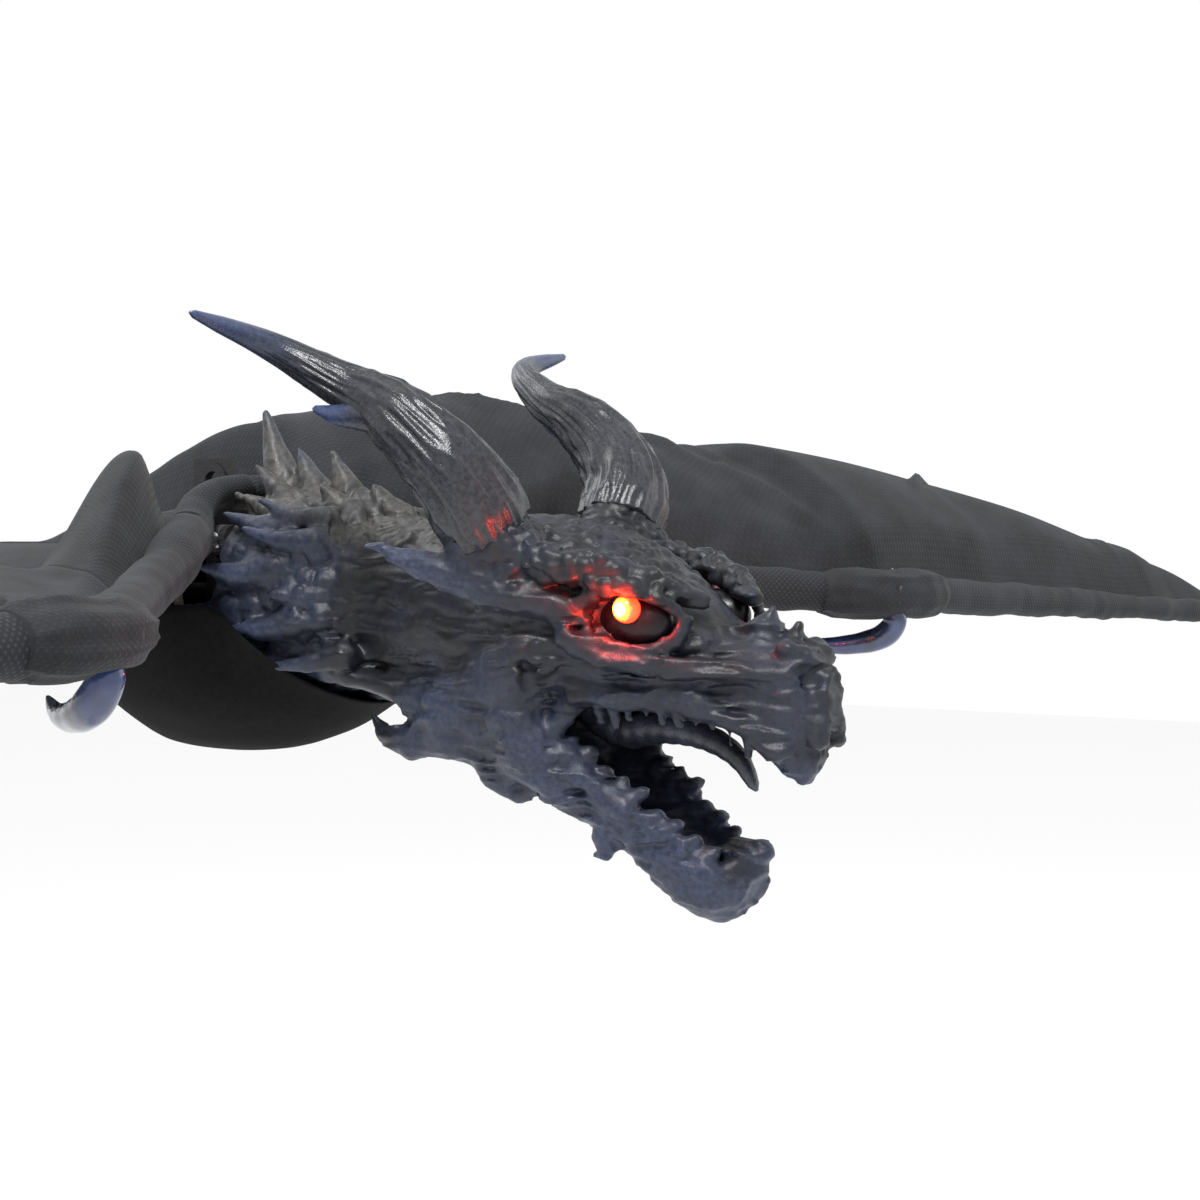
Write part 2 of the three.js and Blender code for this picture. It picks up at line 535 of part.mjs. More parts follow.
function hangerBolt() {
  const { y, z, radius } = TAB_BOLT;
  const reach = HUB.halfWidth + GAP;
  return join(line([-reach - 1, y, z], [reach + 1, y, z], radius, 12),
    line([-reach - 2.4, y, z], [-reach, y, z], 3.6, 6), line([reach, y, z], [reach + 2.4, y, z], 3.6, 6));
}

const neckTube = () => cut(
  line([0, NECK.front, 0], [0, HUB.front + NECK.depth - GAP, 0], NECK.tube, 20),
  line([0, NECK.front - 1, 0], [0, HUB.front + NECK.depth + 1, 0], NECK.bore, 20),
  line([0, NECK_SCREW.y, -12], [0, NECK_SCREW.y, -3], NECK_SCREW.radius + GAP, 12));

function neckScrew() {
  const { y, radius } = NECK_SCREW;
  return join(line([0, y, HUB.low - 1], [0, y, -NECK.bore - 1], radius, 12),
    line([0, y, HUB.low - 2.4], [0, y, HUB.low - GAP], radius + 1.5, 12));
}

// A pressed ring in front of the plug keeps the head on the tube.
const neckRing = () => cut(line([0, PLUG.front - 8, 0], [0, PLUG.front - GAP, 0], NECK.tube + 5, 20),
  line([0, PLUG.front - 9, 0], [0, PLUG.front + 1, 0], NECK.tube + GAP, 20));

function neckCavity(y) {
  const after = SKULL.findIndex((ring) => ring[0] >= y);
  const [a, b] = [SKULL[after - 1], SKULL[after]];
  const t = (y - a[0]) / (b[0] - a[0]);
  return [1, 2, 3, 4].map((i) => mix(a[i], b[i], t));
}

const SCREW_Y = PLUG.front + PLUG.thick / 2;
const screwSpots = () => [-20, 200].map((angle) => {
  const turn = THREE.MathUtils.degToRad(angle);
  const [z, wide, up, down] = neckCavity(SCREW_Y);
  return [wide * Math.cos(turn), z + down * Math.sin(turn)];
});

function headPlug() {
  const rings = [PLUG.front, PLUG.front + PLUG.thick].map((y) => {
    const [z, wide, up, down] = neckCavity(y);
    const less = SKIN + 0.5;
    return oval(y, z, wide - less, up - less, down - less);
  });
  return cut(loft(rings), line([0, PLUG.front - 1, 0], [0, PLUG.front + 20, 0], NECK.tube + RUNNING, 32),
    ...screwSpots().map(([x, z]) => line([x * 0.6, SCREW_Y, z * 0.6], [x, SCREW_Y, z], SCREW + GAP, 10)));
}
// Two screws through the skin of the neck into the rim of the plug.
const plugScrew = (x, z) => line([x * 0.66, SCREW_Y, z * 0.66], [x * 1.02, SCREW_Y, z * 1.02], SCREW, 10);

// ---- Fabric body --------------------------------------------------------------------------------
function hoopPoints(count = 28) {
  return Array.from({ length: count }, (_, i) => {
    const turn = (2 * Math.PI * i) / count;
    const rise = Math.sin(turn) > 0 ? HOOP.top * Math.sin(turn) : -HOOP.low * Math.sin(turn);
    return v(HOOP.rx * Math.cos(turn), HOOP.y - HOOP.lean * Math.sin(turn), rise);
  });
}
function hoop() {
  const path = new THREE.CatmullRomCurve3(hoopPoints(), true, "centripetal");
  const steps = 28;
  const frames = path.computeFrenetFrames(steps, true);
  const rings = [];
  for (let s = 0; s < steps; s++) {
    rings.push(Array.from({ length: HOOP.sides }, (_, i) => path.getPointAt(s / steps)
      .addScaledVector(frames.normals[s], HOOP.wire / 2 * Math.cos((2 * Math.PI * i) / HOOP.sides))
      .addScaledVector(frames.binormals[s], HOOP.wire / 2 * Math.sin((2 * Math.PI * i) / HOOP.sides))));
  }
  const faces = [];
  for (let s = 0; s < steps; s++) {
    for (let i = 0; i < HOOP.sides; i++) {
      const next = (i + 1) % HOOP.sides;
      const ring = ((s + 1) % steps) * HOOP.sides;
      const [a, b] = [s * HOOP.sides + i, s * HOOP.sides + next];
      const [c, d] = [ring + i, ring + next];
      faces.push(a, b, d, a, d, c);
    }
  }
  return closed(rings.flat(), faces);
}

// Rings of the fabric body: y, middle z, half width, height above, depth below, lean.
const BODY = [
  [200, -2, 66, 40, 41, 1.1], [236, -4, 70, 36, BELLY.depth - 8, 0.35],
  [275, -4, 60, 26, BELLY.depth - 8, 0], [300, -4, 54, 20, 62, 0], [330, -6, 44, 18, 42, 0],
  [400, -8, 31, 17, 29, 0], [BELLY.end, -3, 20, 13, 14, 0],
];
function bodySleeve() {
  const shape = (less, extra) => loft(BODY.map(([y, z, wide, up, down, lean], i) => {
    const past = extra * (i === 0 ? -1 : Number(i === BODY.length - 1));
    return oval(y + past, z, wide - less, up - less, down - less, 20, lean);
  }));
  // The cloth is cut away above the shoulders, under the back panel.
  return cut(shape(0, 0), shape(BELLY.wall, 4), box([-90, 180, -4], [90, HANGER.y, 90]),
    box([-HANGER.thick / 2 - GAP, 250, 3], [HANGER.thick / 2 + GAP, HANGER.y + HANGER.width / 2 + GAP, 90]));
}

function tailSleeve() {
  const outer = rod(new THREE.LineCurve3(v(0, BELLY.end + GAP + 0.7, 0), v(0, TAIL.end, -8)),
    (t) => mix(TAIL.root, TAIL.tip, t), 3, 14);
  const bore = line([0, BELLY.end - 1, 0], [0, SPINE.end + GAP, 0], SPINE.radius + GAP, 12);
  return cut(outer, bore);
}

function backPanel() {
  return cut(sheet((u, w) => {
    const x = mix(-PANEL.halfWidth, PANEL.halfWidth, u);
    const y = mix(PANEL.start, PANEL.end, w);
    const fall = PANEL.fall * ease((y - PANEL.start) / PANEL.run);
    return v(x, y, PANEL.z - 5 * (x / PANEL.halfWidth) ** 2 - fall);
  }, 6, 7, CLOTH), box([-HANGER.thick / 2 - GAP, PANEL.start - 5, 20],
    [HANGER.thick / 2 + GAP, HANGER.y + HANGER.width / 2 + GAP, 60]));
}

// ---- Power --------------------------------------------------------------------------------------
const room = {
  x: 2 * CELL.radius + 1.5 + CASE.clear, y: CELL.length / 2 + 4, z: CELL.radius + CASE.clear,
};
const knobReach = (KNOB.width + KNOB.travel) / 2;
function batteryCase() {
  const { y, z, wall } = CASE;
  const top = z + room.z + wall;
  const outer = box([-room.x - wall, y - room.y - wall, z - room.z - wall],
    [room.x + wall, y + room.y + 8, top]);
  // A moulded clip grips the spine rod above the case.
  const clip = join(box([-5, y - 8, top - 0.5], [5, y + 8, 0]),
    line([0, y - 8, 0], [0, y + 8, 0], SPINE.radius + 3, 16));
  return cut(join(outer, clip), line([0, y - 9, 0], [0, y + 9, 0], SPINE.radius + GAP, 16),
    box([-room.x, y - room.y, z - room.z - 0.01], [room.x, y + room.y, z + room.z]),
    box([-room.x - wall + 1, y - room.y - wall - 1, z - room.z - wall - 1],
      [room.x + wall - 1, y + room.y + 1.2, z - room.z]),
    box([-knobReach - GAP, y + room.y + 3, z - 3], [knobReach + GAP, y + room.y + 9, z + 3]),
    line([4, y - room.y - wall - 1, z + 3], [4, y - room.y + 1, z + 3], WIRE + GAP, 10));
}
const batteryCover = () => join(
  box([-room.x - CASE.wall + 1 + GAP, CASE.y - room.y - CASE.wall, CASE.z - room.z - CASE.wall],
    [room.x + CASE.wall - 1 - GAP, CASE.y + room.y + 1.2 - GAP, CASE.z - room.z - GAP]),
  box([-8, CASE.y - room.y, CASE.z - room.z - CASE.wall - 1],
    [8, CASE.y - room.y + 3, CASE.z - room.z - CASE.wall + 0.5]));
function battery(x, turned) {
  const { y, z } = CASE;
  const nose = turned ? 1 : -1;
  return join(line([x, y - CELL.length / 2, z], [x, y + CELL.length / 2, z], CELL.radius, 18),
    line([x, y + nose * CELL.length / 2, z], [x, y + nose * (CELL.length / 2 + 1.2), z], 2.6, 10));
}
const contact = (end) => {
  const wallY = CASE.y + end * (room.y - GAP);
  const [low, high] = [wallY, wallY - end * 0.8].sort((a, b) => a - b);
  return join(box([-room.x + 1, low, CASE.z - 5], [room.x - 1, high, CASE.z + 5]),
    ...[-1, 1].map((side) => line([side * (CELL.radius + 0.7), wallY - end * 0.5, CASE.z],
      [side * (CELL.radius + 0.7), CASE.y + end * (CELL.length / 2 + 1.2 + GAP), CASE.z], 3, 10)));
};
const switchKnob = () => box([-knobReach, CASE.y + room.y + 3 + GAP, CASE.z - 3 + GAP],
  [KNOB.width - knobReach, CASE.y + room.y + 10, CASE.z + 3 - GAP]);

function spineRod() {
  return cut(line([0, HUB.back - SPINE.depth + GAP, 0], [0, SPINE.end, 0], SPINE.radius, 12),
    line([0, HUB.back - SPINE.depth - 1, 0], [0, SPINE.end + 1, 0], SPINE.bore, 10),
    line([0, SPINE.exit, -9], [0, SPINE.exit, 0], 3.6, 10));
}

// The lead from the case runs in the spine rod, the hub and the neck tube to the plug.
const caseFront = CASE.y - room.y - CASE.wall;
const batteryLead = () => rod(curve([[0, LINK.plugBack + GAP, 0], [0, 160, 0], [0, 230, 0],
  [0, SPINE.exit - 14, 0], [0, SPINE.exit - 3, -1.2], [0.6, SPINE.exit + 0.6, -6], [2, SPINE.exit + 5, -11],
  [4, caseFront - 8, CASE.z + 3], [4, caseFront + 1.4, CASE.z + 3]]), WIRE, 30, 6);
const ledLead = () => rod(curve([[18.6, EYE.y, EYE.z], [13, EYE.y, EYE.z], [9, 9, -2], [9, 30, -3],
  [6, 66, -2], [2.2, LINK.socketFront - GAP, 0]]), WIRE, 10, 6);

// ---- Assembly -----------------------------------------------------------------------------------
add("head_casting", "skin", head());
addPair("horn", "horn", horn());
add("tongue", "tongue", tongueShape(0));
addPair("eye_lens", "lens", eyeLens());
addPair("led", "led", led());
addPair("led_lead", "wire", ledLead());
add("lead_socket", "plastic", line([0, LINK.socketFront, 0], [0, LINK.plugFront - GAP, 0], LINK.radius, 12));
add("lead_plug", "plastic", line([0, LINK.plugFront, 0], [0, LINK.plugBack, 0], LINK.radius, 12));
add("head_plug", "plastic", headPlug());
screwSpots().forEach(([x, z], i) => add(`plug_screw_${i + 1}`, "steel", plugScrew(x, z)));

add("shoulder_hub", "plastic", hub());
add("hanger_tab", "steel", hangerTab());
add("hanger_bolt", "steel", hangerBolt());
add("neck_tube", "alloy", neckTube());
add("neck_ring", "plastic", neckRing());
add("neck_screw", "steel", neckScrew());
add("spine_rod", "alloy", spineRod());
add("collar_hoop", "foam", hoop());
add("body_sleeve", "lining", bodySleeve());
add("tail_sleeve", "cloth", tailSleeve());
add("back_panel", "cloth", backPanel());

add("battery_case", "plastic", batteryCase());
add("battery_cover", "plastic", batteryCover());
add("battery_1", "cell", battery(CELL.radius + 0.7, false));
add("battery_2", "cell", battery(-CELL.radius - 0.7, true));
add("front_contact", "steel", contact(-1));
add("rear_contact", "steel", contact(1));
add("switch_knob", "plastic", switchKnob());
add("battery_lead", "wire", batteryLead());

wing("left", false);
wing("right", true);

export default dragon;
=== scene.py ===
"""Visual model of the hanging flying dragon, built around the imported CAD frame.

Shapes are laid out in millimetres from the point midway between the eyes: X to the dragon's left,
Y towards its tail, Z up. The frame's own origin is the hanger's eye, EYES_TO_HANGER away.
"""

import json
import math

import bmesh
import bpy
import numpy as np
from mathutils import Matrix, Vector


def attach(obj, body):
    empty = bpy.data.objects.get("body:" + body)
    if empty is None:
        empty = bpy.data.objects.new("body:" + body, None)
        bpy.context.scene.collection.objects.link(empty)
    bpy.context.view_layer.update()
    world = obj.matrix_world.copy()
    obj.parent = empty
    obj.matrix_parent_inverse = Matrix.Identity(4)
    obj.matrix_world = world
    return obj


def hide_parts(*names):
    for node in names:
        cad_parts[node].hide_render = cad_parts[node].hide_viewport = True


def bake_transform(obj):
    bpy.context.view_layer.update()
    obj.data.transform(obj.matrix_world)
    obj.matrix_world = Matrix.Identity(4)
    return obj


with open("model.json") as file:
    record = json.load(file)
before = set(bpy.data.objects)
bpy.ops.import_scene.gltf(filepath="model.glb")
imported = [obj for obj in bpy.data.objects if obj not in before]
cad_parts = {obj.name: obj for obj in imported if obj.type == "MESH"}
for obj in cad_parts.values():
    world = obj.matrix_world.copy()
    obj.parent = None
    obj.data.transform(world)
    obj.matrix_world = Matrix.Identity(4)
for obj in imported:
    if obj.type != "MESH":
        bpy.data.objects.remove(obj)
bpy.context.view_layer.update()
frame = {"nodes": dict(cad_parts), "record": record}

EYES_TO_HANGER = np.array([0.0, 262.0, 54.0])
MM = 0.001
VOXEL = 1.2


def row(points):
    """Layout millimetres to the row frame's metres."""
    return (np.asarray(points, float) - EYES_TO_HANGER) * MM


# ---- Noise ---------------------------------------------------------------------------------------
def lattice_noise(points, cell, seed):
    """Smooth value noise from -1 to 1; cell is its size in millimetres, one number or one per axis."""
    size = 32
    values = np.random.default_rng(seed).uniform(-1, 1, (size, size, size)).astype(np.float32)
    q = points / np.asarray(cell, np.float32)
    base = np.floor(q)
    f = q - base
    f = f * f * (3 - 2 * f)
    i = base.astype(np.int64) % size
    j = (i + 1) % size
    total = 0
    for corner in range(8):
        pick = [(corner >> axis) & 1 for axis in range(3)]
        index = [np.where(pick[a], j[..., a], i[..., a]) for a in range(3)]
        weight = 1
        for a in range(3):
            weight = weight * (f[..., a] if pick[a] else 1 - f[..., a])
        total = total + values[index[0], index[1], index[2]] * weight
    return total


def cells(points, cell, seed, jitter=0.8):
    """Distances to the nearest and second nearest of scattered points, in cells."""
    size = 24
    offsets = np.random.default_rng(seed).uniform(-0.5, 0.5, (size, size, size, 3)).astype(np.float32)
    q = (points / np.asarray(cell, np.float32)).astype(np.float32)
    base = np.floor(q).astype(np.int64)
    first = np.full(len(q), 9.0, np.float32)
    second = first.copy()
    for dx in (-1, 0, 1):
        for dy in (-1, 0, 1):
            for dz in (-1, 0, 1):
                at = base + (dx, dy, dz)
                m = at % size
                site = at + 0.5 + offsets[m[:, 0], m[:, 1], m[:, 2]] * jitter
                d = np.linalg.norm(q - site, axis=1)
                second = np.minimum(second, np.maximum(first, d))
                first = np.minimum(first, d)
    return first, second


def ramp(value, low, high):
    t = np.clip((value - low) / (high - low), 0, 1)
    return t * t * (3 - 2 * t)


# ---- Sculpting in a grid of distances --------------------------------------------------------------
class Sculpt:
    """A grid of distances over one half of a symmetric body; x starts at the middle plane."""

    def __init__(self, low, high, voxel):
        self.voxel = voxel
        self.axes = [np.arange(a, b + voxel, voxel, dtype=np.float32) for a, b in zip(low, high)]
        self.field = np.full([len(a) for a in self.axes], 25.0, np.float32)

    def window(self, low, high):
        cuts = []
        for axis, a, b in zip(self.axes, low, high):
            cuts.append(slice(int(np.searchsorted(axis, a)), int(np.searchsorted(axis, b))))
        x, y, z = (axis[c] for axis, c in zip(self.axes, cuts))
        return tuple(cuts), x[:, None, None], y[None, :, None], z[None, None, :]

    def merge(self, cuts, d, soft, carve=False):
        old = self.field[cuts]
        if carve:
            old, d = -old, d
        h = np.clip(soft - np.abs(old - d), 0, None) / soft
        new = np.minimum(old, d) - h * h * soft * 0.25
        self.field[cuts] = -new if carve else new

    def bone(self, points, radii, soft=5.0, carve=False):
        """A chain of round tapered links."""
        points = np.asarray(points, float)
        reach = max(radii) + soft + 3
        centre = points[0]
        local = points - centre
        cuts, x, y, z = self.window(points.min(0) - reach, points.max(0) + reach)
        p = [a - c for a, c in zip((x, y, z), centre)]
        best = None
        for a, b, ra, rb in zip(local[:-1], local[1:], radii[:-1], radii[1:]):
            along = b - a
            t = sum((q - o) * e for q, o, e in zip(p, a, along)) / max(along @ along, 1e-9)
            t = np.clip(t, 0, 1)
            d = np.sqrt(sum((q - o - t * e) ** 2 for q, o, e in zip(p, a, along))) - (ra + (rb - ra) * t)
            best = d if best is None else np.minimum(best, d)
        self.merge(cuts, best, soft, carve)

    def ball(self, centre, radii, soft=5.0, carve=False):
        radii = np.asarray(radii, float)
        cuts, x, y, z = self.window(np.asarray(centre) - radii - soft - 3, np.asarray(centre) + radii + soft + 3)
        r = np.sqrt(sum(((a - c) / s) ** 2 for a, c, s in zip((x, y, z), centre, radii)))
        self.merge(cuts, (r - 1) * radii.min(), soft, carve)

    def surface(self):
        """Vertices and quads where the mirrored grid crosses zero."""
        d = np.concatenate([self.field[:0:-1], self.field])
        start = np.array([-self.axes[0][-1], self.axes[1][0], self.axes[2][0]])
        inside = d < 0
        shape = np.array(d.shape)
        stride = np.array([shape[1] * shape[2], shape[2], 1])
        flat = d.ravel()
        quads = []
        key_all, point_all = [], []
        for axis in range(3):
            lo = [slice(None)] * 3
            hi = [slice(None)] * 3
            lo[axis], hi[axis] = slice(0, -1), slice(1, None)
            for other in range(3):
                if other != axis:
                    lo[other] = hi[other] = slice(1, -1)
            a, b = inside[tuple(lo)], inside[tuple(hi)]
            at = np.argwhere(a != b)
            for other in range(3):
                if other != axis:
                    at[:, other] += 1
            index = at @ stride
            da, db = flat[index], flat[index + stride[axis]]
            point = at.astype(float)
            point[:, axis] += da / (da - db)
            u, w = (axis + 1) % 3, (axis + 2) % 3
            around = [index, index - stride[u], index - stride[u] - stride[w], index - stride[w]]
            for key in around:
                key_all.append(key)
                point_all.append(point)
            ring = np.stack(around, 1)
            flip = ~inside.ravel()[index]
            ring[flip] = ring[flip][:, ::-1]
            quads.append(ring)
        keys = np.concatenate(key_all)
        places = np.concatenate(point_all)
        unique, inverse = np.unique(keys, return_inverse=True)
        count = np.bincount(inverse)
        verts = np.stack([np.bincount(inverse, places[:, a]) / count for a in range(3)], 1)
        faces = np.searchsorted(unique, np.concatenate(quads))
        return verts * self.voxel + start, faces


def profile(axis, rows, smooth):
    """Each column of rows, read along the axis by its first column, with its corners rounded."""
    rows = np.asarray(rows, float)
    width = max(3, int(smooth / (axis[1] - axis[0])) | 1)
    out = []
    for column in rows.T[1:]:
        values = np.interp(axis, rows[:, 0], column)
        for _ in range(2):
            values = np.convolve(np.pad(values, width // 2, "edge"), np.ones(width) / width, "valid")
        out.append(values.astype(np.float32))
    return out


def oval_distance(x, up_down, wide, up, down, power=2.4):
    """Distance to a stretched oval section: x across, up_down from its middle."""
    rise = np.where(up_down > 0, up, down)
    r = (np.abs(x / wide) ** power + np.abs(up_down / rise) ** power) ** (1 / power)
    return (r - 1) * np.minimum(wide, rise)


# ---- Meshes ----------------------------------------------------------------------------------------
def mesh_object(name, verts, faces, material, smooth=True, values=None):
    mesh = bpy.data.meshes.new(name)
    mesh.from_pydata(np.asarray(verts).tolist(), [], [list(map(int, face)) for face in faces])
    mesh.validate()
    if smooth:
        mesh.polygons.foreach_set("use_smooth", [True] * len(mesh.polygons))
    for key, data in (values or {}).items():
        mesh.attributes.new(key, "FLOAT", "POINT").data.foreach_set("value", np.asarray(data, np.float32))
    mesh.update()
    obj = bpy.data.objects.new(name, mesh)
    bpy.context.collection.objects.link(obj)
    mesh.materials.append(material)
    return obj


def place(obj, node, slot, body):
    """obj stands for the CAD node, which it hides, and moves with the body; slot is not used."""
    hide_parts(node)
    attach(obj, body)


def lay_uv(obj, uv):
    """Gives each vertex's uv to the face corners that use it."""
    layer = obj.data.uv_layers.new(name="cloth")
    corner = np.zeros(len(obj.data.loops), np.int32)
    obj.data.loops.foreach_get("vertex_index", corner)
    layer.data.foreach_set("uv", uv[corner].ravel())


def hermite(points, count):
    """Evenly spaced points on a smooth curve through the given ones."""
    p = np.asarray(points, float)
    p = np.vstack([2 * p[0] - p[1], p, 2 * p[-1] - p[-2]])
    out = []
    for i in range(1, len(p) - 2):
        t = np.linspace(0, 1, 40, endpoint=False)[:, None]
        a, b, c, d = p[i - 1:i + 3]
        out.append(0.5 * (2 * b + (c - a) * t + (2 * a - 5 * b + 4 * c - d) * t ** 2
                          + (3 * b - a - 3 * c + d) * t ** 3))
    out.append(p[-2][None])
    fine = np.concatenate(out)
    length = np.concatenate([[0], np.cumsum(np.linalg.norm(np.diff(fine, axis=0), axis=1))])
    at = np.linspace(0, length[-1], count)
    return np.stack([np.interp(at, length, fine[:, k]) for k in range(3)], 1), length[-1]


def frames(path):
    """A side and an upward direction at each point of the path, carried along without twist."""
    tangent = np.gradient(path, axis=0)
    tangent /= np.linalg.norm(tangent, axis=1)[:, None]
    normal = np.array((0.0, 0.0, 1.0))
    sides, ups = [], []
    for t in tangent:
        normal = normal - t * (normal @ t)
        normal /= np.linalg.norm(normal)
        ups.append(normal)
        sides.append(np.cross(t, normal))
    return np.array(sides), np.array(ups)


def tube(path, radius, sides, shape):
    """Capped rings along the path; shape(angle, way) multiplies the radius. Returns vertices and faces."""
    n = len(path)
    across, ups = frames(path)
    turn = np.linspace(0, 2 * np.pi, sides, endpoint=False)
    way = np.linspace(0, 1, n)
    r = np.broadcast_to(np.asarray(radius, float), (n,))[:, None] * np.ones(sides)
    r = r * shape(turn[None, :], way[:, None])
    ring = (path[:, None] + across[:, None] * (r * np.cos(turn))[..., None]
            + ups[:, None] * (r * np.sin(turn))[..., None])
    verts = ring.reshape(-1, 3)
    i = np.arange(n - 1)[:, None] * sides
    k = np.arange(sides)[None, :]
    nxt = (k + 1) % sides
    faces = np.stack([i + k, i + nxt, i + sides + nxt, i + sides + k], -1).reshape(-1, 4).tolist()
    verts = np.vstack([verts, path[0], path[-1]])
    for j in range(sides):
        faces.append([len(verts) - 2, (j + 1) % sides, j])
        faces.append([len(verts) - 1, (n - 1) * sides + j, (n - 1) * sides + (j + 1) % sides])
    return verts, faces


def mirrored(verts, faces):
    return verts * (-1, 1, 1), [list(f)[::-1] for f in faces]


# ---- Materials -------------------------------------------------------------------------------------
class Shader:
    """A small helper around one node material."""

    def __init__(self, name, rough=0.5, metal=0.0, colour=(0.1, 0.1, 0.1)):
        self.material = bpy.data.materials.new(name)
        self.material.use_nodes = True
        self.tree = self.material.node_tree
        self.bsdf = self.tree.nodes["Principled BSDF"]
        self.bsdf.inputs["Roughness"].default_value = rough
        self.bsdf.inputs["Metallic"].default_value = metal
        self.bsdf.inputs["Base Color"].default_value = (*colour, 1)

    def node(self, kind, **settings):
        node = self.tree.nodes.new(kind)
        for key, value in settings.items():
            setattr(node, key, value)
        return node

    def link(self, source, target):
        self.tree.links.new(source, target)

    def where(self, kind="Object"):
        if kind == "UV":
            return self.node("ShaderNodeUVMap").outputs["UV"]
        return self.node("ShaderNodeTexCoord").outputs[kind]

    def noise(self, scale, detail=4.0, rough=0.55, vector=None):
        node = self.node("ShaderNodeTexNoise")
        node.inputs["Scale"].default_value = scale
        node.inputs["Detail"].default_value = detail
        node.inputs["Roughness"].default_value = rough
        self.link(vector or self.where(), node.inputs["Vector"])
        return node.outputs["Fac"]

    def attribute(self, name):
        return self.node("ShaderNodeAttribute", attribute_name=name).outputs["Fac"]

    def math(self, operation, a, b=0.0, c=None):
        node = self.node("ShaderNodeMath", operation=operation)
        for socket, value in zip(node.inputs, (a, b, c)):
            if value is None:
                continue
            if isinstance(value, (int, float)):
                socket.default_value = value
            else:
                self.link(value, socket)
        return node.outputs[0]

    def ramp(self, fac, *stops):
        node = self.node("ShaderNodeValToRGB")
        band = node.color_ramp
        while len(band.elements) < len(stops):
            band.elements.new(0.5)
        for element, (place, colour) in zip(band.elements, stops):
            element.position = place
            element.color = (*colour, 1) if len(colour) == 3 else colour
        self.link(fac, node.inputs["Fac"])
        return node.outputs["Color"]

    def mix(self, fac, a, b):
        node = self.node("ShaderNodeMix", data_type="RGBA")
        for socket, value in ((node.inputs[0], fac), (node.inputs[6], a), (node.inputs[7], b)):
            if isinstance(value, tuple):
                socket.default_value = (*value, 1)
            elif isinstance(value, (int, float)):
                socket.default_value = value
            else:
                self.link(value, socket)
        return node.outputs[2]

    def bump(self, height, strength, distance):
        node = self.node("ShaderNodeBump")
        node.inputs["Strength"].default_value = strength
        node.inputs["Distance"].default_value = distance
        self.link(height, node.inputs["Height"])
        self.link(node.outputs["Normal"], self.bsdf.inputs["Normal"])

    def colour(self, value):
        self.link(value, self.bsdf.inputs["Base Color"])

    def rough(self, value):
        self.link(value, self.bsdf.inputs["Roughness"])


def skin_material():
    """Black moulded latex, airbrushed blue-grey on what stands proud and tan-grey on the nape, with painted shade,
    near-black, in the neck's hollow, the mouth and the eye sockets.
    """
    s = Shader("skin")
    mottle = s.noise(60, 5, 0.6)
    fine = s.noise(420, 4, 0.6)
    black = s.ramp(mottle, (0.3, (0.006, 0.0065, 0.008)), (0.7, (0.014, 0.015, 0.020)))
    blue = s.ramp(fine, (0.35, (0.016, 0.022, 0.043)), (0.7, (0.040, 0.052, 0.095)))
    tan = s.ramp(fine, (0.3, (0.022, 0.022, 0.021)), (0.7, (0.075, 0.072, 0.065)))
    patch = s.math("MULTIPLY_ADD", s.noise(34, 3), 0.9, -0.42)
    blue_fac = s.math("ADD", s.attribute("blue"), patch)
    base = s.mix(s.math("MINIMUM", s.math("MAXIMUM", blue_fac, 0.0), 1.0), black, blue)
    base = s.mix(s.attribute("tan"), base, tan)
    # Painted shade: near-black where the "dark" attribute marks the neck's hollow, the mouth and the eye sockets.
    base = s.mix(s.attribute("dark"), base, (0.004, 0.004, 0.005))
    s.colour(base)
    s.rough(s.math("MULTIPLY_ADD", s.noise(150, 3), 0.42, 0.24))
    grain = s.math("ADD", s.math("MULTIPLY", fine, 0.5), s.math("MULTIPLY", s.noise(1500, 2), 0.25))
    s.bump(grain, 0.5, 0.0009)
    s.bsdf.inputs["Specular IOR Level"].default_value = 0.32
    return s.material


def horn_material():
    s = Shader("horn")
    fine = s.noise(500, 3)
    ridge = s.ramp(fine, (0.3, (0.010, 0.011, 0.014)), (0.75, (0.035, 0.037, 0.045)))
    tip = s.ramp(fine, (0.2, (0.02, 0.03, 0.07)), (0.9, (0.05, 0.075, 0.16)))
    s.colour(s.mix(s.attribute("tip"), ridge, tip))
    s.rough(s.math("MULTIPLY_ADD", s.noise(200, 3), 0.3, 0.1))
    s.bump(s.noise(1100, 3), 0.35, 0.0006)
    s.bsdf.inputs["Specular IOR Level"].default_value = 0.38
    return s.material


def tongue_material():
    s = Shader("tongue")
    s.colour(s.ramp(s.noise(90, 4), (0.3, (0.012, 0.013, 0.018)), (0.7, (0.04, 0.045, 0.065))))
    s.rough(s.math("MULTIPLY_ADD", s.noise(200, 3), 0.25, 0.2))
    s.bump(s.noise(700, 4), 0.4, 0.0008)
    return s.material


def claw_material():
    s = Shader("claw")
    s.colour(s.ramp(s.noise(60, 4), (0.35, (0.012, 0.015, 0.028)), (0.75, (0.03, 0.055, 0.17))))
    s.rough(s.math("MULTIPLY_ADD", s.noise(250, 2), 0.15, 0.14))
    s.bump(s.noise(500, 3), 0.25, 0.0005)
    s.bsdf.inputs["Coat Weight"].default_value = 0.4
    return s.material


def glow_material(name, strength):
    """A lit dome: pale yellow in the middle of the lamp, orange-red round it."""
    s = Shader(name, 0.12, colour=(0.6, 0.05, 0.02))
    heat = s.math("ADD", s.attribute("core"), s.math("MULTIPLY_ADD", s.noise(260, 2), 0.5, -0.25))
    s.link(s.ramp(heat, (0.2, (1.0, 0.012, 0.003)), (0.5, (1.0, 0.09, 0.008)), (0.72, (1.0, 0.42, 0.03)),
                  (0.95, (1.0, 0.9, 0.45))), s.bsdf.inputs["Emission Color"])
    s.bsdf.inputs["Emission Strength"].default_value = strength
    return s.material


PITCH = 1.5 * MM


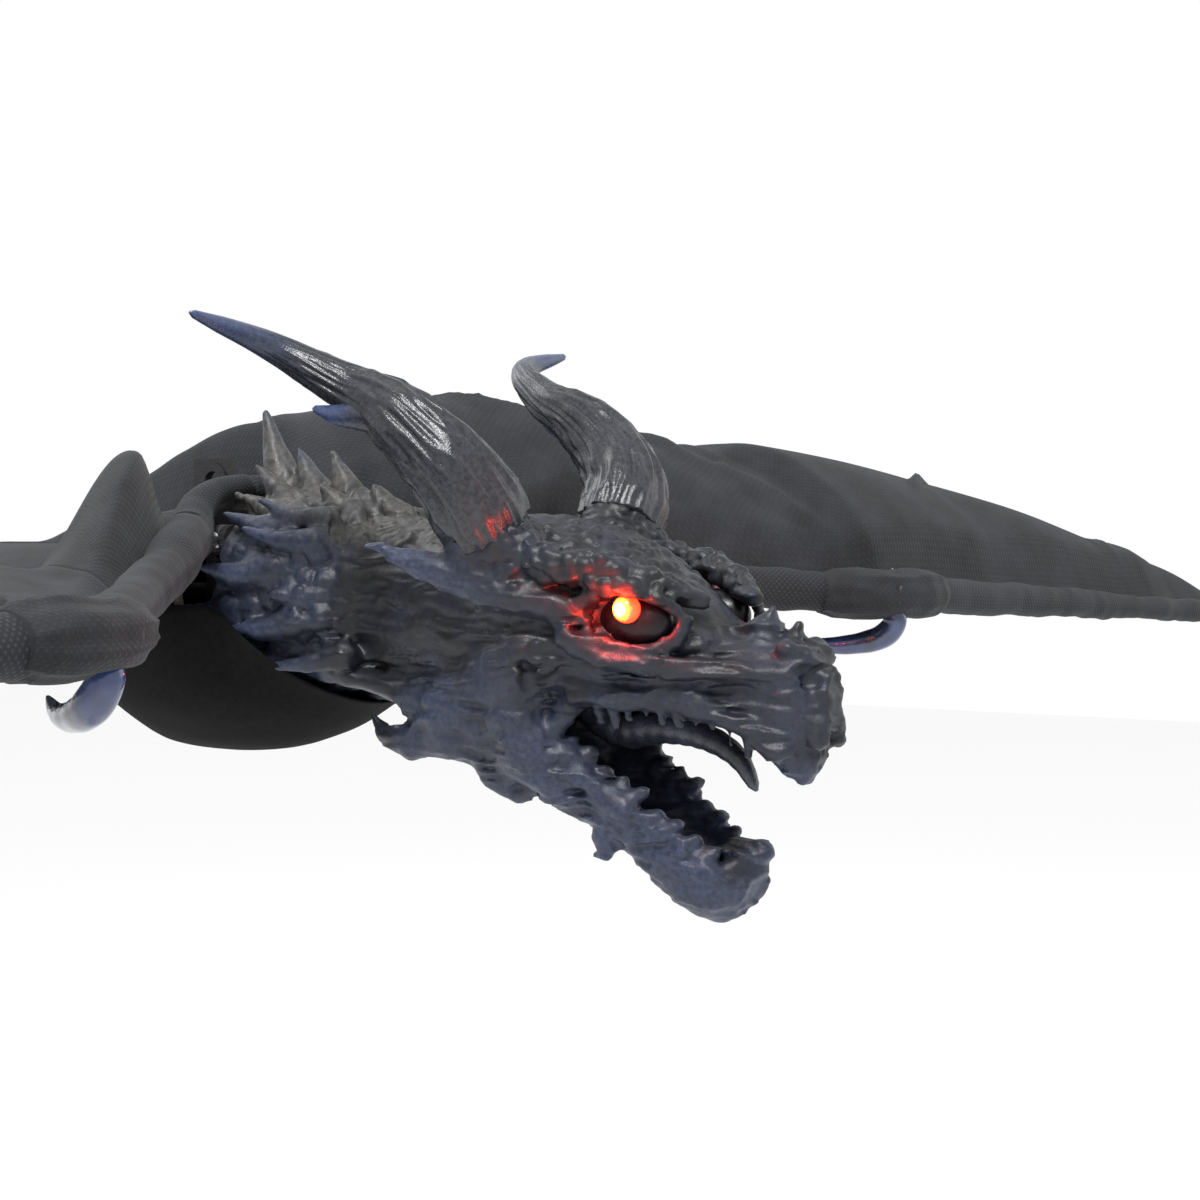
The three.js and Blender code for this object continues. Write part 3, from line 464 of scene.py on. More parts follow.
def cloth_material(name, dot_highlight, tone, dark=1.0):
    """Non-woven cloth: felted fibres and a staggered grid of pressed dots, PITCH apart, on the sheet's UVs; the dots
    are painted lighter, a painted highlight on each.
    """
    s = Shader(name, 0.85)
    uv = s.where("UV")
    split = s.node("ShaderNodeSeparateXYZ")
    s.link(uv, split.inputs[0])
    waves = []
    for a, b in ((1, 1), (1, -1)):
        lane = s.math("ADD", s.math("MULTIPLY", split.outputs[0], a * math.pi / PITCH),
                      s.math("MULTIPLY", split.outputs[1], b * math.pi / PITCH))
        waves.append(s.math("MULTIPLY_ADD", s.math("SINE", lane), 0.5, 0.5))
    dot = s.math("POWER", s.math("MULTIPLY", waves[0], waves[1]), 1.5)
    blotch = s.noise(22, 6, 0.65)
    fibre = s.noise(900, 4, 0.7)
    low, high = (tuple(c * k * dark for c in tone) for k in (0.32, 2.3))
    base = s.ramp(blotch, (0.3, low), (0.72, high))
    base = s.mix(s.math("MULTIPLY", fibre, 0.5), base, tuple(c * 2.0 * dark for c in tone))
    # Painted highlight: each pressed dot is lightened, as if it caught the light.
    base = s.mix(s.math("MULTIPLY", dot, dot_highlight), base, tuple(min(1, c * 5.2 * dark) for c in tone))
    # Painted shade: near-black wherever a sheet carries a "dark" attribute.
    base = s.mix(s.attribute("dark"), base, (0.006, 0.006, 0.007))
    s.colour(base)
    s.bump(s.math("ADD", s.math("MULTIPLY", dot, 0.8), s.math("MULTIPLY", fibre, 0.35)), 0.55, 0.0006)
    s.bsdf.inputs["Sheen Weight"].default_value = 0.04
    s.bsdf.inputs["Sheen Roughness"].default_value = 0.4
    s.bsdf.inputs["Specular IOR Level"].default_value = 0.25
    return s.material


def plain_material(name, low, high, rough, metal=0.0, scale=180, bump=0.15, stretch=None, shine=0.5):
    """Moulded or metal stock: mottled colour, uneven gloss, and a light grain."""
    s = Shader(name, rough, metal)
    vector = s.where()
    if stretch:
        shift = s.node("ShaderNodeMapping")
        shift.inputs["Scale"].default_value = stretch
        s.link(vector, shift.inputs["Vector"])
        vector = shift.outputs[0]
    s.colour(s.ramp(s.noise(scale, 4, 0.6, vector), (0.3, low), (0.7, high)))
    s.rough(s.math("MULTIPLY_ADD", s.noise(scale * 2, 3, 0.5, vector), 0.2, rough - 0.1))
    s.bump(s.noise(scale * 6, 3, 0.5, vector), bump, 0.0004)
    s.bsdf.inputs["Specular IOR Level"].default_value = shine
    return s.material


CHARCOAL = (0.011, 0.0118, 0.0138)
MATERIALS = {
    "eyeball": plain_material("eyeball", (0.003, 0.003, 0.004), (0.008, 0.006, 0.008), 0.3, shine=0.22),
    "skin": skin_material(), "horn": horn_material(), "tongue": tongue_material(), "claw": claw_material(),
    "lens": glow_material("lens", 14.0), "led": glow_material("led", 4.0),
    "cloth": cloth_material("cloth", 0.10, CHARCOAL),
    "hem": cloth_material("hem", 0.55, CHARCOAL, 0.9),
    # Painted shade, partly: the lining is black fabric, and its colour is made darker still than the cloth because the
    # belly hangs in the wings' shade.
    "lining": plain_material("lining", (0.0015, 0.0015, 0.002), (0.0045, 0.0045, 0.005), 0.9, 0, 300, 0.5, shine=0.12),
    "black_plastic": plain_material("black_plastic", (0.010, 0.010, 0.011), (0.022, 0.022, 0.024), 0.45),
    "steel": plain_material("steel", (0.018, 0.018, 0.020), (0.040, 0.040, 0.043), 0.42, 0.6, 220, 0.1, (1, 1, 14)),
    "alloy": plain_material("alloy", (0.46, 0.47, 0.49), (0.62, 0.63, 0.65), 0.38, 1.0, 120, 0.1, (0.2, 6, 6)),
    "foam": plain_material("foam", (0.045, 0.042, 0.036), (0.11, 0.10, 0.085), 0.8, 0, 160, 0.5),
    "wire": plain_material("wire", (0.20, 0.010, 0.008), (0.32, 0.02, 0.015), 0.4),
    "cell": plain_material("cell", (0.02, 0.10, 0.045), (0.05, 0.20, 0.09), 0.35, 0.3),
}


# ---- The head --------------------------------------------------------------------------------------
# Rings of the skull and neck: y, middle z, half width, height above, depth below.
SKULL = [
    (-72, -34, 5, 8, 12), (-67, -38, 13, 16, 26), (-58, -40, 17, 23, 31), (-47, -36, 19, 23, 23),
    (-30, -32, 22, 20, 20), (-12, -24, 29, 31, 20), (8, -18, 37, 39, 26), (30, -12, 44, 43, 33),
    (56, -8, 47, 45, 38), (85, -6, 45, 43, 42), (115, -5, 39, 38, 38), (140, -3, 37, 38, 35),
    (163, -2, 44, 40, 40), (188, 0, 49, 44, 45), (214, 0, 50, 42, 44),
]
NECK_END = 214
WALL = 5.5
HOLLOW_START = 104  # the neck is hollow from here back
# The lower jaw lies along its own axis from JAW_ROOT, tipped down by JAW_TILT.
JAW_ROOT = (100.0, -45.0)
JAW_TILT = math.radians(29)
# Rings of the lower jaw: way along it, middle, half width, height above, depth below.
JAW = [
    (-6, -2, 34, 22, 20), (30, 3, 35, 22, 21), (55, 5, 32, 18, 19), (80, 5, 28, 15, 18), (100, 5, 25, 12, 15),
    (120, 3, 22, 13, 19), (138, 2, 20, 13, 19), (150, 4, 16, 12, 12), (157, 6, 6, 6, 6),
]
HORN_BOSS = ((28, 57, 4), (49, 61, 31))
# The upper lip, from the corner of the mouth to the beak.
LIP = np.array([(33, 26, -37), (32, 8, -36), (29, -10, -35.5), (26, -22, -37), (22, -33, -44), (18, -46, -50),
                (13, -57, -57)])
EYE = np.array([38.0, 0.5, -1.0])
RUFF = [  # x, y, z of the tip, and the root's radius
    (44, 214, 38, 8), (56, 218, 14, 9), (54, 238, -6, 9), (48, 262, -22, 10), (33, 236, -40, 9), (27, 222, 47, 8),
    (51, 196, 31, 7), (40, 196, 44, 6), (57, 205, -14, 7), (50, 214, -33, 7), (16, 226, -46, 7), (52, 180, -30, 6),
]
CREST = [((0, 210, 38), (0, 229, 86), 12), ((0, 190, 38), (0, 208, 68), 11), ((0, 168, 35), (0, 187, 66), 10),
         ((14, 196, 40), (20, 216, 60), 8), ((0, 146, 32), (0, 162, 50), 8), ((15, 160, 36), (20, 176, 50), 7)]


def jaw_place(u, v, x=0.0):
    """A point of the lower jaw's own axes, in layout millimetres."""
    c, s = math.cos(JAW_TILT), math.sin(JAW_TILT)
    return (x, JAW_ROOT[0] - u * c - v * s, JAW_ROOT[1] - u * s + v * c)


def add_rings(sculpt, rings, shrink, low, high, soft, carve=False):
    """The skull and neck's rings, each smaller by shrink, between low and high along y."""
    cuts, x, y, z = sculpt.window((-1, low, -140), (90, high, 100))
    line = y.ravel()
    mid, wide, up, down = (c[None, :, None] for c in profile(line, rings, 12))
    d = oval_distance(x, z - mid, np.maximum(wide - shrink, 2), np.maximum(up - shrink, 2),
                      np.maximum(down - shrink, 2))
    ends = np.maximum(low + 3 - y, y - high + 3)
    sculpt.merge(cuts, np.maximum(d, ends), soft, carve)


def add_jaw(sculpt, shrink, low, high, lift, soft, carve=False):
    cuts, x, y, z = sculpt.window((-1, -60, -140), (60, 130, 0))
    c, s = math.cos(JAW_TILT), math.sin(JAW_TILT)
    u = -(y - JAW_ROOT[0]) * c - (z - JAW_ROOT[1]) * s
    v = -(y - JAW_ROOT[0]) * s + (z - JAW_ROOT[1]) * c
    line = np.linspace(-10, 160, 171)
    mid, wide, up, down = (np.interp(u, line, column) for column in profile(line, JAW, 8))
    d = oval_distance(x, v - mid - lift, np.maximum(wide - shrink, 2), up, down + (lift - shrink if carve else 0))
    ends = np.maximum(low - u, u - high)
    sculpt.merge(cuts, np.maximum(d, ends), soft, carve)


def sculpt_head():
    s = Sculpt((0, -80, -136), (78, 288, 94), VOXEL)
    add_rings(s, SKULL, 0, -78, NECK_END + 3, 1)
    add_jaw(s, 0, -8, 156, 0, 9)
    # Brow, temple, cheekbone and its long spike.
    s.bone([(20, -26, 2), (33, -10, 9), (42, 6, 14), (48, 26, 16), (50, 48, 22)], [4, 6, 7.5, 8, 9], 6)
    s.bone([HORN_BOSS[0], HORN_BOSS[1]], [20, 18], 9)
    s.bone([(44, 20, -3), (50, 40, 3), (55, 62, 9), (62, 84, 16), (70, 107, 24)], [6, 8, 8.5, 6, 1.8], 6)
    s.bone([(46, 22, -12), (44, 8, -20), (36, -12, -24), (26, -34, -26), (17, -54, -26)], [6, 5, 4.5, 4, 3], 5)
    s.bone([(42, 44, -20), (40, 66, -34), (38, 92, -44)], [9, 11, 9], 10)
    # Upper lip, hooked beak, snout bulb and its spikes.
    s.bone(LIP, [5.5, 4.6, 4, 4, 4, 4.5, 5], 5)
    s.bone([(0, -56, -44), (0, -61, -60), (0, -62, -69)], [14, 8, 2.5], 6)
    s.ball((0, -60, -32), (16, 11, 17), 6)
    s.bone([(0, -28, -14), (0, -43, -12), (0, -47, -0.5)], [4, 8.5, 1], 4)
    s.bone([(0, -55, -17), (0, -59, -8)], [6, 1.2], 3)
    s.bone([(8, -66, -20), (12, -60, -17)], [4, 4], 4)
    s.bone([(7, -70, -46), (8, -72, -54)], [4, 4], 4)
    s.ball((9, -70, -30), (3.4, 4, 4.4), 3, carve=True)
    for side_z, reach in ((-8, 10), (-20, 7), (-34, 8)):
        s.bone([(22, -24, side_z - 8), (26, -8, side_z - 6), (34, 10, side_z - 4)], [3, 3.4, 3], reach)
    # The mouth: palate, the trough of the lower jaw, the throat, and the skin stretched at its corners.
    s.ball((0, -8, -55), (20, 46, 16), 4, carve=True)
    add_jaw(s, 6, 40, 146, 17, 4, carve=True)
    s.ball((0, 30, -58), (23, 34, 17), 6, carve=True)
    s.bone([(31, 34, -44), (33, 40, -56), (30, 26, -72), (26, 8, -84)], [5, 4.5, 4, 4], 5)
    s.bone([(24, 62, -52), (26, 88, -48)], [19, 19], 10)
    s.bone([(42, 46, -24), (40, 54, -42), (36, 52, -60), (31, 40, -74)], [8, 9, 9, 7], 10)
    s.bone([(49, 42, -24), (48, 38, -38), (44, 30, -54), (38, 16, -70)], [2, 4.5, 4.5, 2.5], 5, carve=True)
    # Eye socket under its lids.
    s.ball((46, -1, -5), (11, 20, 12), 4, carve=True)
    s.bone([(41, 21, -1), (45, 8, 7.5), (42, -8, 7), (33, -21, -1)], [3.4, 4, 3.6, 3], 3)
    s.bone([(41, 21, -1), (44, 12, -14), (40, -4, -19), (32, -20, -14), (29, -24, -6)], [3, 3, 3, 3, 2.6], 3)
    # Jaw spurs, chin, and the tendons of the throat.
    s.bone([(36, 92, -56), (35, 112, -62), (33, 128, -60), (32, 136, -52)], [9, 7, 4.5, 1.6], 6)
    s.bone([jaw_place(94, -8, 19), jaw_place(97, -14, 19), jaw_place(93, -18, 18)], [6, 3, 1.2], 4)
    s.bone([jaw_place(40, -11, 25), jaw_place(50, -15, 24)], [8, 3], 8)
    s.ball(jaw_place(140, -4), (17, 15, 15), 8)
    s.bone([jaw_place(144, 12, 0), jaw_place(151, 20, 0)], [9, 5], 5)
    s.bone([(30, 60, -60), (32, 110, -42), (36, 165, -30)], [6, 6, 5], 10)
    s.bone([(0, 90, -62), (0, 130, -42), (0, 180, -40)], [8, 6, 6], 10)
    # Teeth: pointed above, blunt knobs below.
    for i in range(11):
        y = 18 - 6.9 * i
        x, z = (float(np.interp(y, LIP[::-1, 1], LIP[::-1, a])) for a in (0, 2))
        size = 2.9 - 0.06 * i + 0.5 * math.sin(i * 2.3)
        drop = 11.5 - 0.2 * i + 1.8 * math.sin(i * 1.7)
        s.bone([(x - 1, y, z - 1.5), (x - 1.6, y - 1.5, z - drop)], [size, 1.2], 1.2)
    for i in range(10):
        t = i / 9
        u = 62 + 84 * t
        wide = float(np.interp(u, [62, 100, 130, 146], [27, 22, 17, 9]))
        high = float(np.interp(u, [62, 100, 130, 146], [22, 19, 14, 16])) + 1.6 * math.sin(i * 2.1)
        s.bone([jaw_place(u, high - 6, wide), jaw_place(u + 2, high - 1.6, wide - 1)], [4.2, 3.0], 3)
    for tip_x, tip_y, tip_z, radius in RUFF:
        tip = np.array([tip_x, tip_y, tip_z], float)
        root = np.array([tip_x * 0.78, min(tip_y - 34, 196), tip_z * 0.8])
        bend = (tip * 0.45 + root * 0.55) + (tip_x * 0.05, 0, -2)
        s.bone([root, bend, tip], [radius, radius * 0.62, 1.2], 5)
    for root, tip, radius in CREST:
        middle = (np.array(root) * 0.5 + np.array(tip) * 0.5) + (0, 1.5, 0)
        s.bone([root, middle, tip], [radius, radius * 0.62, 1.4], 4)
    for i in range(9):
        angle = math.radians(-62 + 16 * i)
        y = 160 + 6 * (i % 3)
        at = np.array([46 * math.cos(angle), y, 42 * math.sin(angle)])
        s.bone([at * (0.92, 1, 0.92), at + (6 * math.cos(angle), 12, 6 * math.sin(angle))], [6, 1.6], 4)
    add_rings(s, SKULL, WALL + 0.8, HOLLOW_START, NECK_END + 20, 2, carve=True)
    return s


def head_masks(p):
    """Where each kind of skin lies, from 0 to 1, at layout points p."""
    x, y, z = np.abs(p[:, 0]), p[:, 1], p[:, 2]
    nape = ramp(y, 78, 96) * ramp(z, 18, 30) * (1 - ramp(x, 34, 46))
    pebbles = ramp(y, -40, -12) * (1 - ramp(y, 44, 66)) * ramp(z - 0.1 * y, -4, 10)
    ruff = ramp(y, 142, 160) * (1 - nape)
    return {"nape": nape, "pebbles": pebbles, "ruff": ruff}


def roughen_head(s):
    """Pebbles on the brow, cracked plates on the nape, lumps on the ruff and long wrinkles elsewhere."""
    band = np.argwhere(np.abs(s.field) < 5)
    p = np.stack([s.axes[a][band[:, a]] for a in range(3)], 1)
    m = head_masks(p)
    pebble, _ = cells(p, (6.0, 6.5, 6.0), 3)
    plate, plate_far = cells(p, (11, 17, 30), 4, 0.95)
    lump, lump_far = cells(p, (8, 9, 7.5), 6)
    crack = ramp(plate_far - plate, 0.02, 0.22)
    warp = p + 3.0 * np.stack([lattice_noise(p, 14, k) for k in (21, 22, 23)], 1)
    lines = 0.5 - 1.6 * np.abs(lattice_noise(warp, (9.0, 34, 5.2), 11))
    small = 0.5 - 1.6 * np.abs(lattice_noise(warp, (5.0, 17, 2.9), 12))
    grain = lattice_noise(p, 3.0, 13)
    plain = np.clip(1 - m["nape"] - m["pebbles"] - m["ruff"] * 0.8, 0, 1)
    height = plain * (1.5 * lines + 0.9 * small)
    height += m["pebbles"] * (2.7 * np.sqrt(np.clip(0.6 - pebble, 0, 1) / 0.6) - 1.2)
    height += m["nape"] * (2.2 * crack - 1.2 + 0.5 * grain)
    height += m["ruff"] * (2.6 * np.clip(0.75 - lump, 0, 1) + 0.8 * ramp(lump_far - lump, 0, 0.3) - 0.6 + 0.4 * small)
    height += 0.22 * grain
    spikes = ramp(np.hypot(p[:, 0], p[:, 2]), 46, 56) * ramp(p[:, 1], 142, 160)
    height *= 1 - 0.75 * spikes
    lined = (p[:, 1] > HOLLOW_START) & (np.hypot(p[:, 0] / 42, p[:, 2] / 38) < 0.86)
    height[lined] = 0
    height = np.maximum(height, -1.1)
    s.field[tuple(band.T)] -= height


def paint_head(p, normals):
    m = head_masks(p)
    x, y, z = np.abs(p[:, 0]), p[:, 1], p[:, 2]
    n = lattice_noise(p, 12, 31) * 0.5 + lattice_noise(p, 5, 32) * 0.25
    jaw = (1 - ramp(z, -100, -58)) * 0.75 + ramp(x, 22, 40) * (1 - ramp(z, -60, -20)) * 0.4
    cheek = ramp(x, 42, 60) * ramp(y, 30, 90) * (1 - ramp(y, 112, 124))
    spikes = ramp(np.hypot(x, z), 50, 62) * ramp(y, 150, 190) + ramp(z, 52, 72) * ramp(y, 150, 170)
    beak = (1 - ramp(z, -72, -58)) * (1 - ramp(y, -50, -40)) * 0.8
    blue = np.clip(0.10 + jaw + 0.8 * cheek + 0.55 * spikes + beak + 0.25 * m["ruff"] - 0.35 * m["pebbles"] + 0.35 * n,
                   0, 1)
    # Painted shade, kept as "dark": the narrow neck behind the jaw, the inside of the mouth and the eye socket are
    # darkened because shade falls there.
    hollow_shade = ramp(y, 112, 128) * (1 - ramp(y, 146, 160)) * (1 - ramp(z, 10, 26)) * 0.7
    mouth = np.exp(-((x / 17) ** 4)) * ramp(-z, 46, 54) * ramp(y, -60, -30) * (1 - ramp(y, 60, 80))
    inner = mouth * (normals[:, 2] > -0.2) * (1 - ramp(-z, 108, 122))
    socket = np.exp(-(((y + 1) / 19) ** 4 + ((z + 5) / 11) ** 4)) * ramp(x, 26, 32) * 0.7
    return {"blue": blue, "tan": m["nape"] * np.clip(0.75 + n, 0, 1), "dark": np.clip(hollow_shade + inner + socket, 0, 1)}


def point_normals(verts, faces):
    a, b, c, d = (verts[faces[:, i]] for i in range(4))
    face = np.cross(c - a, d - b)
    out = np.zeros_like(verts)
    for i in range(4):
        for k in range(3):
            out[:, k] += np.bincount(faces[:, i], face[:, k], len(verts))
    return out / np.maximum(np.linalg.norm(out, axis=1), 1e-9)[:, None]


def build_head():
    s = sculpt_head()
    roughen_head(s)
    verts, faces = s.surface()
    values = paint_head(verts, point_normals(verts, faces))
    head = mesh_object("head_skin", row(verts), faces, MATERIALS["skin"], values=values)
    keep_largest(head)
    place(head, "head_casting", "skin", "head")
    return head


def keep_largest(obj):
    """Drops crumbs that the noise may leave off the surface."""
    bm = bmesh.new()
    bm.from_mesh(obj.data)
    left = set(bm.verts)
    islands = []
    while left:
        todo = [left.pop()]
        found = []
        while todo:
            v = todo.pop()
            found.append(v)
            for e in v.link_edges:
                o = e.other_vert(v)
                if o in left:
                    left.discard(o)
                    todo.append(o)
        islands.append(found)
    islands.sort(key=len)
    for island in islands[:-1]:
        bmesh.ops.delete(bm, geom=island, context="VERTS")
    bm.to_mesh(obj.data)
    bm.free()


# ---- Horns, tongue, claws and eyes -----------------------------------------------------------------
def fibres(path_length, seed, count, depth, smooth_from):
    """Broken ridges that run along a horn; they fade out towards the tip."""
    def shape(turn, way):
        turn, way = np.broadcast_arrays(turn, way)
        circle = np.stack([np.cos(turn), np.sin(turn)], -1) * count / 6.0
        p = np.concatenate([circle, (way * path_length / 24)[..., None]], -1)
        swirl = p + 0.35 * lattice_noise(p * 0.8, 1.0, seed + 1)[..., None]
        coarse = lattice_noise(swirl, 1.0, seed)
        fine = lattice_noise(swirl * (2.1, 2.1, 1.8), 1.0, seed + 2)
        ridge = 1 - np.abs(coarse) * 1.7
        fade = 1 - ramp(way, smooth_from, smooth_from + 0.25)
        return 1 + depth * fade * (ridge - 0.4 + 0.5 * fine)
    return shape


HORN_PATH = [(49, 61, 31.6), (56, 62.5, 41), (63, 67, 53), (69, 81, 69), (71, 98, 82), (75, 119, 92), (92, 144, 108),
             (132, 148, 118)]
PRONG_PATH = [(71, 92, 78), (76, 103, 78), (80, 114, 78), (83, 126, 81)]
HORN_SIDES, PRONG_SIDES = 96, 48


def build_horn(side):
    steps = 200
    path, length = hermite(HORN_PATH, steps)
    way = np.linspace(0, 1, steps)
    radius = np.interp(way, [0, 0.06, 0.2, 0.34, 0.5, 0.7, 0.9, 0.985, 1.0],
                       [18.5, 19.5, 17, 14.5, 10, 6.6, 3.6, 1.8, 0.6])
    parts = [tube(path, radius, HORN_SIDES, fibres(length, 5, 34, 0.11, 0.62))]
    values = [ramp(np.repeat(way, HORN_SIDES), 0.62, 0.95)]
    prong, prong_length = hermite(PRONG_PATH, steps // 3)
    reach = np.linspace(0, 1, len(prong))
    thick = np.interp(reach, [0, 0.3, 0.7, 0.97, 1], [10, 7.5, 4.2, 1.6, 0.5])
    parts.append(tube(prong, thick, PRONG_SIDES, fibres(prong_length, 9, 16, 0.07, 0.3)))
    values.append(ramp(np.repeat(reach, PRONG_SIDES), 0.3, 0.8))
    verts, faces, tips = [], [], []
    for (v, f), t in zip(parts, values):
        faces += [[i + sum(len(a) for a in verts) for i in face] for face in f]
        verts.append(v)
        tips.append(np.append(t, [t[0], t[-1]]))
    verts = np.vstack(verts)
    if side < 0:
        verts, faces = mirrored(verts, faces)
    name = "left" if side > 0 else "right"
    horn = mesh_object(f"{name}_horn_skin", row(verts), faces, MATERIALS["horn"], values={"tip": np.concatenate(tips)})
    place(horn, f"{name}_horn", "horn", "head")


def build_tongue():
    path, _ = hermite([(0, 46, -42), (0, 26, -53.5), (0, 7, -52), (0, -13, -54.5), (0, -30, -62.5),
                       (0, -39.5, -76)], 70)
    way = np.linspace(0, 1, 70)
    radius = np.interp(way, [0, 0.3, 0.6, 0.85, 0.97, 1], [8.5, 8, 6.0, 4.2, 2.4, 0.6])

    def shape(turn, way_):
        wide = 1 + 0.22 * np.cos(turn) ** 2
        groove = -0.22 * np.exp(-(((turn - np.pi / 2) / 0.35) ** 2)) * (1 - way_)
        ripple = 0.03 * np.sin(way_ * 90)
        return wide + groove + ripple
    verts, faces = tube(path, radius, 36, shape)
    tongue = mesh_object("tongue_skin", row(verts), faces, MATERIALS["tongue"])
    place(tongue, "tongue", "tongue", "head")


WRIST = np.array([290.0, 38.0, -4.0])


def build_claw(side):
    path, _ = hermite([WRIST + p for p in ((-10, 1, -6), (-8, 0, -15), (-9, 8, -23), (-16, 24, -27), (-26, 42, -27),
                                           (-36, 58, -23))], 90)
    way = np.linspace(0, 1, 90)
    radius = np.interp(way, [0, 0.08, 0.25, 0.6, 0.9, 0.985, 1], [4.2, 6.4, 6.6, 4.6, 1.9, 0.8, 0.3])
    verts, faces = tube(path, radius, 32, lambda turn, w: 1 + 0.02 * np.sin(3 * turn) + 0.015 * np.sin(40 * w))
    if side < 0:
        verts, faces = mirrored(verts, faces)
    name = "left" if side > 0 else "right"
    claw = mesh_object(f"{name}_claw_skin", row(verts), faces, MATERIALS["claw"])
    place(claw, f"{name}_claw", "claw", f"{name}_arm")


def dome(centre, radii, name, material, rings=28, sides=48, values=None):
    lat = np.linspace(0, np.pi, rings)
    lon = np.linspace(0, 2 * np.pi, sides, endpoint=False)
    unit = np.stack([np.cos(lat)[:, None] * np.ones(sides), np.sin(lat)[:, None] * np.cos(lon),
                     np.sin(lat)[:, None] * np.sin(lon)], -1)
    verts = unit.reshape(-1, 3)
    faces = []
    for i in range(rings - 1):
        for j in range(sides):
            k = (j + 1) % sides
            faces.append([i * sides + j, i * sides + k, (i + 1) * sides + k, (i + 1) * sides + j])
    placed = verts * radii + centre
    obj = mesh_object(name, row(placed), faces, material, values=values(verts) if values else None)
    weld(obj)
    return obj


def weld(obj, distance=1e-6):
    bm = bmesh.new()
    bm.from_mesh(obj.data)
    bmesh.ops.remove_doubles(bm, verts=bm.verts, dist=distance)
    bmesh.ops.recalc_face_normals(bm, faces=bm.faces)
    bm.to_mesh(obj.data)
    bm.free()


def build_eye(side):
    name = "left" if side > 0 else "right"
    flip = np.array([side, 1, 1])
    ball = dome(EYE * flip + np.array([side * -7.0, -1.5, -5.0]), (9.5, 17.0, 11.5), f"{name}_eyeball",
                MATERIALS["eyeball"])
    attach(ball, "head")
    lamp = dome(EYE * flip + np.array([side * 2.9, -3.2, -0.3]), (5.2, 5.8, 5.6), f"{name}_eye_glow", MATERIALS["lens"],
                values=lambda v: {"core": np.clip(1.05 - 1.0 * np.hypot(v[:, 1] - 0.1, v[:, 2]) ** 1.6, 0, 1)})
    spill = bpy.data.lights.new(f"{name}_eye_spill", "POINT")
    spill.energy, spill.color, spill.shadow_soft_size = 0.16, (1.0, 0.03, 0.01), 0.004
    glow = bpy.data.objects.new(f"{name}_eye_spill", spill)
    bpy.context.collection.objects.link(glow)
    glow.location = row(EYE * flip + np.array([side * 13.0, -3.0, 2.0]))
    place(lamp, f"{name}_eye_lens", "lens", "head")


build_head()
build_tongue()
for side in (1, -1):
    build_horn(side)
    build_eye(side)
    build_claw(side)

# ---- Cloth -----------------------------------------------------------------------------------------
THICK = 0.6  # the cloth's thickness


def grid_sheet(name, points, uv, material, thick=THICK, keep=None, round_seam=False):
    """A closed thin sheet over a grid of points; uv is in metres, keep says which cells stay."""
    n, m = points.shape[:2]
    du = np.gradient(points, axis=0)
    dv = np.gradient(points, axis=1)
    normal = np.cross(du, dv)
    if round_seam:
        normal[:, 0] = normal[:, -1] = normal[:, 0] + normal[:, -1]
    normal /= np.maximum(np.linalg.norm(normal, axis=2, keepdims=True), 1e-9)
    verts = np.concatenate([(points + normal * thick / 2).reshape(-1, 3), (points - normal * thick / 2).reshape(-1, 3)])
    index = np.arange(n * m).reshape(n, m)
    cells_ = np.stack([index[:-1, :-1], index[1:, :-1], index[1:, 1:], index[:-1, 1:]], -1)
    cells_ = cells_[keep] if keep is not None else cells_.reshape(-1, 4)
    edges = {}
    for face in cells_:
        for a, b in zip(face, np.roll(face, -1)):
            edges[(int(a), int(b))] = True
    rim = [(a, b) for a, b in edges if (b, a) not in edges]
    shift = n * m
    if round_seam:
        seam = set(index[:, 0].tolist()) | set(index[:, -1].tolist())
        rim = [(a, b) for a, b in rim if not (a in seam and b in seam and abs(a - b) >= m)]
    side = np.array([(b, a, a + shift, b + shift) for a, b in rim]) if rim else np.zeros((0, 4), int)
    faces = np.concatenate([cells_, cells_[:, ::-1] + shift, side])
    used = np.unique(faces)
    lookup = np.full(2 * shift, -1)
    lookup[used] = np.arange(len(used))
    obj = mesh_object(name, row(verts[used]), lookup[faces], material)
    lay_uv(obj, np.concatenate([uv.reshape(-1, 2)] * 2)[used])
    if round_seam:
        weld(obj, 1e-5)
    return obj


